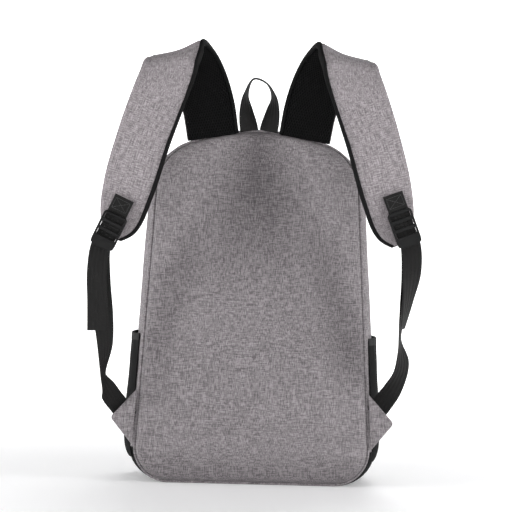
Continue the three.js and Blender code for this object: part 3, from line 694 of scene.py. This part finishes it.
def band(name, route, section, material, body, slot, *nodes, taper=(1, 1)):
    """A closed pad along a route. section(half, share) gives its outline there as (across, out)."""
    outline = np.array([section(half, share) for half, share in zip(route.half, route.share)])
    for end, columns in ((0, (0, 1, 2)), (1, (-1, -2, -3))):
        if taper[end]:
            middle = outline[columns[2], :, 1].mean()
            for column, keep in zip(columns, (0.0, 0.75, 0.95)):
                outline[column, :, 1] = middle + (outline[column, :, 1] - middle) * keep
    points = route.place(outline[:, :, 0].T, outline[:, :, 1].T)
    girth = np.linalg.norm(np.diff(outline[len(outline) // 2], axis=0), axis=1).sum()
    piece = cloth(name, points, (route.steps[-1], girth))
    outward(piece)
    smooth(piece, 55)
    dress(piece, material)
    stand_for(piece, body, slot, *nodes)
    return piece


SEAM_HALF = 33
CROWN_EDGE = math.sqrt(239 ** 2 - 58 ** 2) - 239 + BAG_TOP / MM
strap_points = [
    (58, -68, CROWN_EDGE - 3, (0.98, 0, -0.2), SEAM_HALF),
    (65, -76, 478, (0.985, 0, -0.17), SEAM_HALF + 0.5),
    (76, -88, 510, (0.985, 0, -0.18), SEAM_HALF + 1),
    (88, -98, 529, (0.97, 0, -0.25), SEAM_HALF + 2),
    (101, -116, 540, (0.95, 0, -0.31), SEAM_HALF + 3),
    (109, -135, 529, (0.955, 0, -0.3), SEAM_HALF + 2),
    (116, -143, 507, (0.98, 0, -0.2), SEAM_HALF + 1),
    (125, -144, 482, (0.99, 0, -0.14), SEAM_HALF + 1),
    (141, -142, 436, (0.96, 0.15, -0.2), SEAM_HALF + 1),
    (160, -135, 370, (0.93, 0.25, -0.2), SEAM_HALF),
    (171, -128, 325, (0.93, 0.25, -0.15), SEAM_HALF - 9),
    (177, -127, 309, (0.93, 0.25, -0.15), SEAM_HALF - 23),
]
STRAP_FACE = 0.0045  # half the padding's thickness
MESH_FACE = -0.0075
strap_route = Route(strap_points, 170)
# painted light: the straps' cloth is the walls' grey heather painted lighter, because the straps stand out into the
# lamps' light
lit_strap_heather = heather_cloth("lit strap heather", (0.334, 0.306, 0.318), (0.118, 0.105, 0.111), uv=True)

mesh_surface = Surface("air mesh", 0.9, specular_ior_level=0.05)
mesh_u, mesh_v, _ = mesh_surface.axes(uv=True)
MESH_PITCH = 0.0034
cell_rows = mesh_surface.stripes(mesh_v + mesh_u * 0.577, MESH_PITCH)
cell_columns = mesh_surface.stripes(mesh_v - mesh_u * 0.577, MESH_PITCH)
mesh_holes = (cell_rows * cell_columns).above(0.25, 0.6)
mesh_knit = mesh_surface.noise((1300, 1300, 1), uv=True, detail=1.0)
air_mesh = mesh_surface.look(
    color=mesh_surface.blend(mesh_holes,
                             mesh_surface.blend(mesh_knit, (0.003, 0.003, 0.0031), (0.010, 0.010, 0.0103)),
                             (0.0003, 0.0003, 0.0003)),
    bump=mesh_knit * 0.2 - mesh_holes, depth=0.0018, strength=1.0)


def cover_section(half, share):
    """The padding under its cover: full in the middle, rounded to the sewn edges."""
    across = np.linspace(-1, 1, 41)
    rise = (1 - np.abs(across) ** 8) ** 0.5
    top = STRAP_FACE * rise * (0.86 + 0.14 * np.cos(across * math.pi / 2))
    ripple = 0.0006 * math.sin(share * 61) * np.cos(across * 2.3 + share * 9) * rise
    inner, outer = -half + 0.0025, half - 0.0006
    e = (inner + outer) / 2 + across * (outer - inner) / 2
    low = -STRAP_FACE * rise * 0.9
    return np.concatenate([np.stack([e, top + ripple], 1), np.stack([e, low], 1)[::-1][1:],
                           [[e[0], top[0] + ripple[0]]]])


def mesh_section(half, share):
    across = np.linspace(-1, 1, 31)
    rise = (1 - np.abs(across) ** 6) ** 0.5
    inner, outer = -half + 0.003, half - 0.0015
    e = (inner + outer) / 2 + across * (outer - inner) / 2
    top = np.full(31, -STRAP_FACE * 0.5)
    low = -STRAP_FACE * 0.5 + (MESH_FACE + STRAP_FACE * 0.5) * rise
    return np.concatenate([np.stack([e, top], 1), np.stack([e, low], 1)[::-1][1:], [[e[0], top[0]]]])


def binding_section(half, share):
    turn = np.linspace(0, 2 * math.pi, 21)
    squared = 0.7
    e = -half + 0.0022 + 0.0023 * np.sign(np.cos(turn)) * np.abs(np.cos(turn)) ** squared
    middle, reach = (STRAP_FACE + MESH_FACE) / 2, (STRAP_FACE - MESH_FACE) / 2 - 0.0009
    return np.stack([e, middle + reach * np.sign(np.sin(turn)) * np.abs(np.sin(turn)) ** squared], 1)


for side, route in (("left", strap_route), ("right", strap_route.mirrored())):
    body = "strap_" + side
    cover = band("strap_cover_" + side, route, cover_section, lit_strap_heather, body, "heather_cloth", "strap_" + side)
    band("strap_lining_" + side, route, mesh_section, air_mesh, body, "air_mesh", "strap_mesh_" + side)
    band("strap_edge_" + side, route, binding_section, black_cloth, body, "black_cloth", "strap_binding_" + side)

# Webbing: 25 mm polypropylene with five ribs along it. A short length is box-stitched to each
# strap's end and holds the buckle; a longer one runs from the anchor through it and hangs free.
web_surface = Surface("webbing", 0.65, specular_ior_level=0.18)
web_u, web_v, _ = web_surface.axes(uv=True)
pick = web_surface.stripes(web_u + web_surface.stripes(web_v, 0.0025) * 0.0006, 0.0016)
web_fuzz = web_surface.noise((900, 900, 1), uv=True)
webbing = web_surface.look(
    color=web_surface.blend(pick * 0.6 + web_fuzz * 0.4, (0.004, 0.004, 0.0039), (0.0135, 0.013, 0.0128)),
    roughness=pick * 0.15 + 0.55, bump=pick + web_fuzz * 0.3, depth=0.00035, strength=0.7)
WEB_HALF = 12.5
WEB_FACE = 0.0008
RIBS = 5


def web_section(half, share):
    across = np.linspace(-1, 1, 41)
    thin_edge = np.where(np.abs(across) > 0.97, 0.55, 1.0)
    rib = WEB_FACE * (0.78 + 0.22 * np.cos(across * RIBS * math.pi)) * thin_edge
    e = across * half
    return np.concatenate([np.stack([e, rib], 1), np.stack([e, -rib], 1)[::-1], [[e[0], rib[0]]]])


locks = {
    "left": {"at": np.array([181.5, -147, 330.0]), "side": 1, "lean": math.radians(21)},
    "right": {"at": np.array([-181.5, -147, 318.5]), "side": -1, "lean": math.radians(25)},
}
tails = {
    "left": [(-7.6, 3.2, 20, (0.93, 0, 0.36)), (0, 3.0, 0, (0.93, 0, 0.36)), (1.8, 0.5, -28.5, (0.95, 0.25, 0.15)),
             (-1.2, 1.5, -64.5, (0.6, 0.8, 0)), (-7.2, 3, -102.5, (0.25, 0.97, 0))],
    "right": [(8.6, 3.2, 18.5, (0.91, 0, -0.42)), (0, 3.0, 0, (0.91, 0, -0.42)), (-3.3, 0.5, -29.6, (1, 0, -0.1)),
              (-2.2, 1, -65.6, (1, 0, 0)), (-1.4, 1.5, -102, (1, 0, 0.04))],
}
adjusters = {
    "left": [(-5, 5.2, 13, (0.93, 0, 0.36)), (0, 5.0, 0, (0.93, 0, 0.36)),
             (0.8, 7.8, -39.9, (0.9, 0.4, 0.1)), (-4.3, 20.8, -80.3, (0.5, 0.86, 0)),
             (-8.4, 34.6, -116.7, (0.15, 0.98, 0)), (-4.4, 44.7, -151, (0.75, 0.6, 0.25)),
             (-13, 66, -180, (0.85, 0.3, -0.25)), (-23, 83, -199, (0.75, 0, -0.6)), (-35, 85.5, -216, (0.7, 0, -0.7))],
    "right": [(5.5, 5.2, 12.5, (0.91, 0, -0.42)), (0, 5.0, 0, (0.91, 0, -0.42)),
              (0.6, 7.4, -40, (1, 0.1, 0)), (4, 18.2, -80.4, (0.95, 0.3, 0)),
              (6.6, 30.3, -120.8, (0.7, 0.7, 0)), (4.9, 42.7, -165, (0.15, 0.98, 0)),
              (12.5, 66, -186, (0.75, 0.55, 0.25)), (23, 83, -202, (0.75, 0, 0.6)), (35, 85.5, -218, (0.7, 0, 0.7))],
}
LOCK_HALF = 23.0


def thread_piece(name, pieces, radius, material, body, slot):
    """Short round threads, one for each row of points, as one piece."""
    line = bpy.data.curves.new(name, "CURVE")
    line.dimensions = "3D"
    line.bevel_depth = radius
    line.bevel_resolution = 1
    line.use_fill_caps = True
    for points in pieces:
        spline_data = line.splines.new("POLY")
        spline_data.points.add(len(points) - 1)
        spline_data.points.foreach_set("co", np.c_[points, np.ones(len(points))].ravel())
    thread = bpy.data.objects.new(name, line)
    bpy.context.collection.objects.link(thread)
    deselect()
    thread.select_set(True)
    bpy.context.view_layer.objects.active = thread
    bpy.ops.object.convert(target="MESH")
    thread = bpy.context.object
    smooth(thread, 60)
    dress(thread, material)
    stand_for(thread, body, slot)
    return thread


def stitches(name, path, lift, material, body, slot, pitch=0.0034, radius=0.00028):
    """A line of stitches on a surface, along path. lift is the way out of the surface."""
    path = np.array(path, float)
    rows = np.concatenate([path, np.broadcast_to(lift, path.shape)], axis=1)
    steps = np.r_[0.0, np.cumsum(np.linalg.norm(np.diff(path, axis=0), axis=1))]
    places = np.arange(pitch * 0.5, steps[-1] - pitch * 0.4, pitch)
    pieces = []
    for at in places:
        ends = at + pitch * np.array([-0.38, -0.26, 0.26, 0.38])
        spots = np.stack([np.interp(ends, steps, rows[:, k]) for k in range(6)], axis=1)
        pieces.append(spots[:, :3] + spots[:, 3:] * np.array([-1.2, 0.6, 0.6, -1.2])[:, None] * radius)
    return thread_piece(name, pieces, radius, material, body, slot)


grey_thread_surface = Surface("grey thread", 0.6, sheen_weight=0.2)
grey_thread = grey_thread_surface.look(color=(0.19, 0.18, 0.185))
black_thread_surface = Surface("black thread", 0.55, sheen_weight=0.2)
black_thread = black_thread_surface.look(color=(0.02, 0.02, 0.02))

for side, lock in locks.items():
    body = "strap_" + side
    down = np.array([lock["side"] * math.sin(lock["lean"]), 0, -math.cos(lock["lean"])])
    across = (math.cos(lock["lean"]), 0, lock["side"] * math.sin(lock["lean"]))
    top, foot = lock["at"] - down * LOCK_HALF, lock["at"] + down * LOCK_HALF
    sewn = [(*(top - down * 22), across, WEB_HALF), (*(top - down * 12), across, WEB_HALF),
            (*(top - down * 2), across, WEB_HALF), (*(top + down * 6 + (0, 3.0, 0)), across, WEB_HALF),
            (*(top + down * 26 + (0, 3.0, 0)), across, WEB_HALF)]
    sewn_route = Route(sewn, 50)
    band("webbing_short_" + side, sewn_route, web_section, webbing, body, "webbing", "strap_webbing_" + side)
    face = np.array([0, -1, 0]) * (WEB_FACE + 0.0002)
    low, high = (top - down * 5) * MM + face, (top - down * 18) * MM + face
    wide = np.array(across) * 0.0095
    box_path = np.array([low - wide, high - wide, high + wide, low + wide,
                         low - wide, high + wide, high - wide, low + wide])
    stitches("webbing_box_stitch_" + side, respace(box_path, 120), (0, -1, 0), black_thread,
             body, "webbing", pitch=0.003)
    tail_route = Route([(*(foot + np.array(at[:3])), at[3], WEB_HALF) for at in tails[side]], 60)
    band("webbing_end_" + side, tail_route, web_section, webbing, body, "webbing", "webbing_tail_" + side)
    run = Route([(*(foot + np.array(at[:3])), at[3], WEB_HALF) for at in adjusters[side]], 100)
    adjuster = band("webbing_long_" + side, run, web_section, webbing, None, "webbing", "adjuster_webbing_" + side)
    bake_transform(adjuster)


# Ladder locks: moulded nylon buckles with rounded edges.
def from_cad(name, node, material, body, slot, bevel=0.0006, segments=2, angle=35, shape=None):
    """A copy of a CAD node with merged points and rounded edges. shape moves its points first."""
    source = bpy.data.objects[node]
    piece = source.copy()
    piece.data = source.data.copy()
    piece.name = piece.data.name = name
    piece.hide_render = piece.hide_viewport = False
    bpy.context.collection.objects.link(piece)
    for key in list(piece.keys()):
        del piece[key]
    outward(piece)
    modify(piece, "DECIMATE", decimate_type="DISSOLVE", angle_limit=math.radians(1))
    if shape:
        for vertex in piece.data.vertices:
            vertex.co = shape(np.array(vertex.co))
    modify(piece, "BEVEL", width=bevel, segments=segments, limit_method="ANGLE", angle_limit=math.radians(angle))
    smooth(piece, 35)
    dress(piece, material)
    stand_for(piece, body, slot, node)
    return piece


plastic_surface = Surface("black nylon", 0.5, specular_ior_level=0.14)
plastic_grain = plastic_surface.noise((1500, 1500, 1500), detail=2.0)
plastic = plastic_surface.look(
    color=plastic_surface.blend(plastic_grain, (0.0025, 0.0025, 0.0026), (0.005, 0.005, 0.0052)),
    roughness=plastic_grain * 0.16 + 0.30, bump=plastic_grain, depth=0.00008, strength=0.5)


def tongue(lock):
    """Draws the buckle's foot in to a rounded tongue that stands a little out from the strap."""
    down = np.array([lock["side"] * math.sin(lock["lean"]), 0, -math.cos(lock["lean"])])
    across = np.array([math.cos(lock["lean"]), 0, lock["side"] * math.sin(lock["lean"])])

    def move(point):
        local = point - lock["at"] * MM
        share = max(0.0, (local @ down - 0.014) / 0.009)
        return point - across * (local @ across) * 0.30 * share ** 2 - np.array([0, 0.0018, 0]) * share

    return move


for side, lock in locks.items():
    from_cad("buckle_" + side, "ladder_lock_" + side, plastic, "ladder_lock_" + side, "buckle_plastic", 0.0009, 3,
             shape=tongue(lock))

# Anchors: two layers of heather folded to a triangle, with a row of stitches inside the edges.
# The real ones are caught in the side seams. Each holds the end of a long webbing.
for side, sign in (("left", 1), ("right", -1)):
    from_cad("anchor_cloth_" + side, "anchor_" + side, heather, "root", "heather_cloth", 0.0012, 3)
    low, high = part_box("anchor_" + side)
    tip_x = abs(low[0] if sign < 0 else high[0])
    corners = np.array([(tip_x, 0.0816), (HALF_BASE - 0.002, 0.119), (HALF_BASE + 0.001, 0.047)])
    centre = corners.mean(axis=0)
    hem = centre + (corners - centre) * 0.80
    face_y = low[1] - 0.0001
    path = np.array([[sign * x, face_y, z] for x, z in hem[[1, 0, 2]]])
    stitches("anchor_stitch_" + side, respace(path, 60), (0, -1, 0), grey_thread,
             "root", "heather_cloth", pitch=0.003)


# Side pockets: a panel of black cloth that stands off the wall, gathered at its mouth by an elastic hem.
def side_loop(y):
    """The wall's outer face at one depth, on the right: places out and up."""
    return half_outline(**wall_shape(y))[1:SHOULDER_AT]


def pocket_grid(bottom, mouth, rows, columns, lift, gathers=1.0):
    """Points over the side wall. lift(depth share, height share) is how far they stand off it."""
    heights = np.linspace(bottom, mouth, rows)
    depths = np.linspace(POCKET_BACK, POCKET_FRONT, columns)
    grid = np.empty((rows, columns, 3))
    for j, y in enumerate(depths):
        loop = side_loop(y)
        order = np.argsort(loop[:, 1])
        v = j / (columns - 1)
        for i, z in enumerate(heights):
            u = (z - POCKET_BOTTOM) / (POCKET_MOUTH - POCKET_BOTTOM)
            near_mouth = max(0.0, (u - 0.72) / 0.28)
            wave = 0.0006 * gathers * math.sin(j * 2 * math.pi / 7) * near_mouth * math.sin(math.pi * v)
            slack = 0.0012 * math.sin(5 * u + 2 * v) * math.sin(math.pi * v) * math.sin(math.pi * min(u, 1))
            grid[i, j] = np.interp(z, loop[order, 1], loop[order, 0]) + lift(v, u) + wave + slack, y, z
    return grid


POCKET_BACK, POCKET_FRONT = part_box("side_pocket_left")[0][1] + 0.002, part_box("side_pocket_left")[1][1] - 0.002
POCKET_BOTTOM, POCKET_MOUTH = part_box("side_pocket_left")[0][2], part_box("side_pocket_left")[1][2]


def pocket_lift(v, u):
    """The pocket is sewn flat at its sides and base, fullest below the middle, and drawn in at the hem."""
    sides = 1 - abs(2 * v - 1) ** 2.6
    base = min(1.0, (u / 0.28)) ** 0.6
    mouth = 1 - 0.22 * max(0, (u - 0.8) / 0.2)
    return 0.0014 + 0.0068 * sides * base * mouth


def hem_lift(v, u):
    return pocket_lift(v, 1.0) + 0.0007


elastic_surface = Surface("black elastic", 0.75, specular_ior_level=0.2)
elastic_u = elastic_surface.axes(uv=True)[0]
elastic_ribs = elastic_surface.stripes(elastic_u, 0.0022)
elastic = elastic_surface.look(
    color=elastic_surface.blend(elastic_ribs, (0.008, 0.008, 0.008), (0.026, 0.026, 0.026)),
    bump=elastic_ribs, depth=0.0005, strength=0.8)
for side, sign in (("left", 1), ("right", -1)):
    mirror = np.array([sign, 1.0, 1.0])
    panel = pocket_grid(POCKET_BOTTOM, POCKET_MOUTH - 0.003, 70, 60, pocket_lift) * mirror
    shell("pocket_" + side, panel, black_cloth, "root", "black_cloth", "side_pocket_" + side,
          thickness=0.0011, inner=black_cloth)
    hem = pocket_grid(POCKET_MOUTH - 0.009, POCKET_MOUTH, 8, 60, hem_lift) * mirror
    shell("pocket_elastic_" + side, hem, elastic, "root", "black_cloth", "pocket_hem_" + side,
          thickness=0.0018, inner=elastic)

# Grab handle: a folded loop of the same webbing, its ends sewn into the top seam.
HANDLE_FOOT = BAG_TOP / MM + 1
HANDLE_HALF = 11.5
HANDLE_Y = (BACK_FACE_Y + BACK_SEAM_Y) / 2 / MM
handle_points = [
    (-12.2, HANDLE_Y, HANDLE_FOOT - 3, (1, 0, 0), HANDLE_HALF),
    (-16.5, HANDLE_Y + 1, HANDLE_FOOT + 22, (0.75, 0.65, 0), HANDLE_HALF),
    (-17, HANDLE_Y + 3, HANDLE_FOOT + 44, (0.25, 0.96, 0), HANDLE_HALF),
    (-8, HANDLE_Y + 4, HANDLE_FOOT + 63, (0, 1, 0), HANDLE_HALF),
    (8, HANDLE_Y + 4, HANDLE_FOOT + 58, (0, 1, 0), HANDLE_HALF),
    (17, HANDLE_Y + 3, HANDLE_FOOT + 42, (-0.25, 0.96, 0), HANDLE_HALF),
    (16.5, HANDLE_Y + 1, HANDLE_FOOT + 22, (-0.75, 0.65, 0), HANDLE_HALF),
    (12, HANDLE_Y, HANDLE_FOOT - 3, (-1, 0, 0), HANDLE_HALF),
]
handle = band("handle_loop", Route(handle_points, 110), web_section, webbing, None, "webbing", "grab_handle")
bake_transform(handle)

# Main zip: black tapes sewn to both edges, a nylon coil between them, and two metal sliders.
def finish_node(material, *nodes):
    """A CAD node that keeps its shape and gets this material."""
    for node in nodes:
        dress(bpy.data.objects[node], material)


def zip_teeth(name, path, across, reach, body, pitch=0.0019, radius=0.00055):
    """One side of a coil: a loop of nylon for each tooth, from the tape to just past the middle."""
    path = respace(np.array(path), int(np.linalg.norm(np.diff(path, axis=0), axis=1).sum() / pitch))
    lift = path - np.array([0, path[:, 1].mean(), 0.2])
    lift[:, 1] = 0
    lift /= np.linalg.norm(lift, axis=1, keepdims=True)
    across = np.broadcast_to(across, path.shape)
    pieces = [np.array([at + way * reach, at + way * reach * 0.3 + up * 0.0007, at - way * 0.0006 + up * 0.0002])
              for at, way, up in zip(path, across, lift)]
    return thread_piece(name, pieces, radius, coil, body, "black_cloth")


coil_surface = Surface("nylon coil", 0.4)
coil = coil_surface.look(color=(0.014, 0.014, 0.0145))
finish_node(black_cloth, "zip_tape_body", "zip_tape_lid", "pocket_zip_upper", "pocket_zip_lower", "laptop_sleeve")
zip_loop = in_depth(whole_outline(**wall_shape(ZIP_Y), inset=-0.0024)[HINGE_AT + 1:OUTLINE_END - HINGE_AT], ZIP_Y)
zip_teeth("zip_coil_body", zip_loop, (0, -1, 0), 0.0028, "root")
zip_teeth("zip_coil_lid", zip_loop + (0.0, 0.0003, 0.0), (0, 1, 0), 0.0026, "lid")

metal_surface = Surface("gunmetal", 0.34, metallic=1.0)
scratches = metal_surface.noise((900, 120, 900), detail=3.0)
gunmetal = metal_surface.look(
    color=metal_surface.blend(scratches.above(0.45, 0.75), (0.10, 0.10, 0.105), (0.26, 0.26, 0.265)),
    roughness=scratches * 0.3 + 0.2, bump=scratches, depth=0.00004, strength=0.4)
for side in ("left", "right"):
    from_cad("slider_" + side, "zip_slider_" + side, gunmetal, "zip_slider_" + side, "slider_metal", 0.0016, 3)
    from_cad("puller_" + side, "zip_puller_" + side, gunmetal, "zip_puller_" + side, "slider_metal", 0.0005)

# Front pocket: a flat bellows of the same heather with a zip across it.
from_cad("front_pocket_cloth", "front_pocket", heather, "root", "heather_cloth", 0.0008, 2, angle=50)
pocket_low, pocket_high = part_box("front_pocket")
zip_z = (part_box("pocket_zip_upper")[0][2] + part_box("pocket_zip_lower")[1][2]) / 2
zip_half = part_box("pocket_zip_upper")[1][0]
pocket_zip_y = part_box("pocket_zip_upper")[1][1] + 0.0002
zip_x = np.linspace(-zip_half + 0.001, zip_half - 0.001, 200)
row = np.stack([zip_x, np.full_like(zip_x, pocket_zip_y), np.full_like(zip_x, zip_z)], 1)
for name, way in (("pocket_coil_upper", 1), ("pocket_coil_lower", -1)):
    teeth = [np.array([at + (0, 0, way * 0.0026), at + (0, 0.0004, way * 0.0008), at - (0, 0.0002, way * 0.0005)])
             for at in respace(row + (way * 0.0005, 0, 0), 100)]
    thread_piece(name, teeth, 0.0005, coil, "root", "black_cloth")
from_cad("pocket_slider_metal", "pocket_slider", gunmetal, "pocket_slider", "slider_metal", 0.0016, 3)
from_cad("pocket_puller_metal", "pocket_puller", gunmetal, "pocket_puller", "slider_metal", 0.0005)
seam_z = [pocket_low[2] + 0.004, pocket_high[2] - 0.004]
seam_x = pocket_high[0] - 0.004
pocket_stitch = [(-seam_x + 0.012, seam_z[0]), (seam_x - 0.012, seam_z[0]), (seam_x, seam_z[0] + 0.012),
                 (seam_x, seam_z[1] - 0.012), (seam_x - 0.012, seam_z[1]), (-seam_x + 0.012, seam_z[1]),
                 (-seam_x, seam_z[1] - 0.012), (-seam_x, seam_z[0] + 0.012), (-seam_x + 0.012, seam_z[0])]
pocket_path = np.array([(x, pocket_high[1] + 0.0001, z) for x, z in pocket_stitch])
stitches("front_pocket_stitch", respace(pocket_path, 400), (0, 1, 0), grey_thread, "root", "heather_cloth")

# Solar panel: cells under a dark laminate, held to the lid by a sewn black border.
from_cad("solar_frame", "solar_border", black_cloth, "lid", "black_cloth", 0.0008, 2)
laminate_surface = Surface("laminate", 0.3, coat_weight=0.5, coat_roughness=0.12)
dust = laminate_surface.noise((60, 60, 60), detail=4.0)
laminate = laminate_surface.look(color=(0.010, 0.011, 0.016), roughness=dust * 0.2 + 0.2)
from_cad("solar_sheet", "solar_panel", laminate, "lid", "laminate", 0.0004)
cell_surface = Surface("solar cells", 0.28, coat_weight=0.8, coat_roughness=0.08)
cell_x, _, cell_z = cell_surface.axes()
CELL_WIDTH = (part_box("solar_cells")[1][0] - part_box("solar_cells")[0][0]) / 3
finger = cell_surface.stripes(cell_z, 0.0021).above(0.93, 1.0)
busbar = cell_surface.stripes(cell_x + CELL_WIDTH / 12, CELL_WIDTH / 3).above(0.990, 0.997)
gap = cell_surface.stripes(cell_x - CELL_WIDTH / 4, CELL_WIDTH).above(0.9965, 0.9985)
silicon = cell_surface.noise((14, 14, 14), detail=2.0)
blue = cell_surface.blend(silicon, (0.006, 0.010, 0.030), (0.012, 0.020, 0.055))
ruled = cell_surface.blend(finger * 0.22, blue, (0.25, 0.26, 0.28))
ruled = cell_surface.blend(busbar, ruled, (0.45, 0.45, 0.46))
cells = cell_surface.look(color=cell_surface.blend(gap, ruled, (0.02, 0.02, 0.022)),
                          roughness=silicon * 0.1 + 0.24)
from_cad("solar_cell_sheet", "solar_cells", cells, "lid", "cells", 0.0003)
border_low, border_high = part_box("solar_border")
inner_x, inner_low, inner_high = border_high[0] - 0.0045, border_low[2] + 0.0045, border_high[2] - 0.0045
border_corners = [(-inner_x, inner_low), (inner_x, inner_low), (inner_x, inner_high), (-inner_x, inner_high),
                  (-inner_x, inner_low)]
border_path = np.array([(x, border_high[1] + 0.0001, z) for x, z in border_corners])
stitches("solar_border_stitch", respace(border_path, 500), (0, 1, 0), black_thread, "lid", "black_cloth")

# Inside the lid: the junction box, its socket and rubber cap, and the lead through its eyelet.
rubber_surface = Surface("cap rubber", 0.65, specular_ior_level=0.3)
rubber = rubber_surface.look(color=(0.016, 0.016, 0.016), bump=rubber_surface.noise((1200, 1200, 1200)),
                             depth=0.0001)
from_cad("charge_box", "junction_box", plastic, "lid", "buckle_plastic", 0.0010, 3)
from_cad("cap", "socket_cap", rubber, "socket_cap", "cap_rubber", 0.0006, 3)
finish_node(rubber, "panel_lead")
finish_node(gunmetal, "usb_socket", "lead_grommet")

# Frame sheet: a stiff board behind the padding.
board_surface = Surface("board", 0.55)
board_grain = board_surface.noise((300, 300, 300), detail=3.0)
board = board_surface.look(color=board_surface.blend(board_grain, (0.045, 0.045, 0.046), (0.07, 0.07, 0.071)),
                           bump=board_grain, depth=0.0002)
finish_node(board, "frame_sheet")

# Topstitching along the straps' edges and the lid's seam.
for side, route in (("left", strap_route), ("right", strap_route.mirrored())):
    for edge, sign in (("outer", 1), ("inner", -1)):
        sewn = slice(6, -8)
        reach = route.half - 0.0075
        path = (route.middle + route.across * (sign * reach)[:, None] + route.out * (STRAP_FACE * 0.88))[sewn]
        stitches(f"strap_stitch_{edge}_{side}", path, route.out[sewn], grey_thread,
                 "strap_" + side, "heather_cloth")
lid_edge = whole_outline(**FRONT_SHAPE, inset=0.0105)[HINGE_AT + 2:OUTLINE_END - HINGE_AT - 1]
lid_stitch = in_depth(lid_edge, FRONT_Y - 0.0014)
stitches("lid_stitch", lid_stitch, (0, 1, 0), grey_thread, "lid", "heather_cloth")
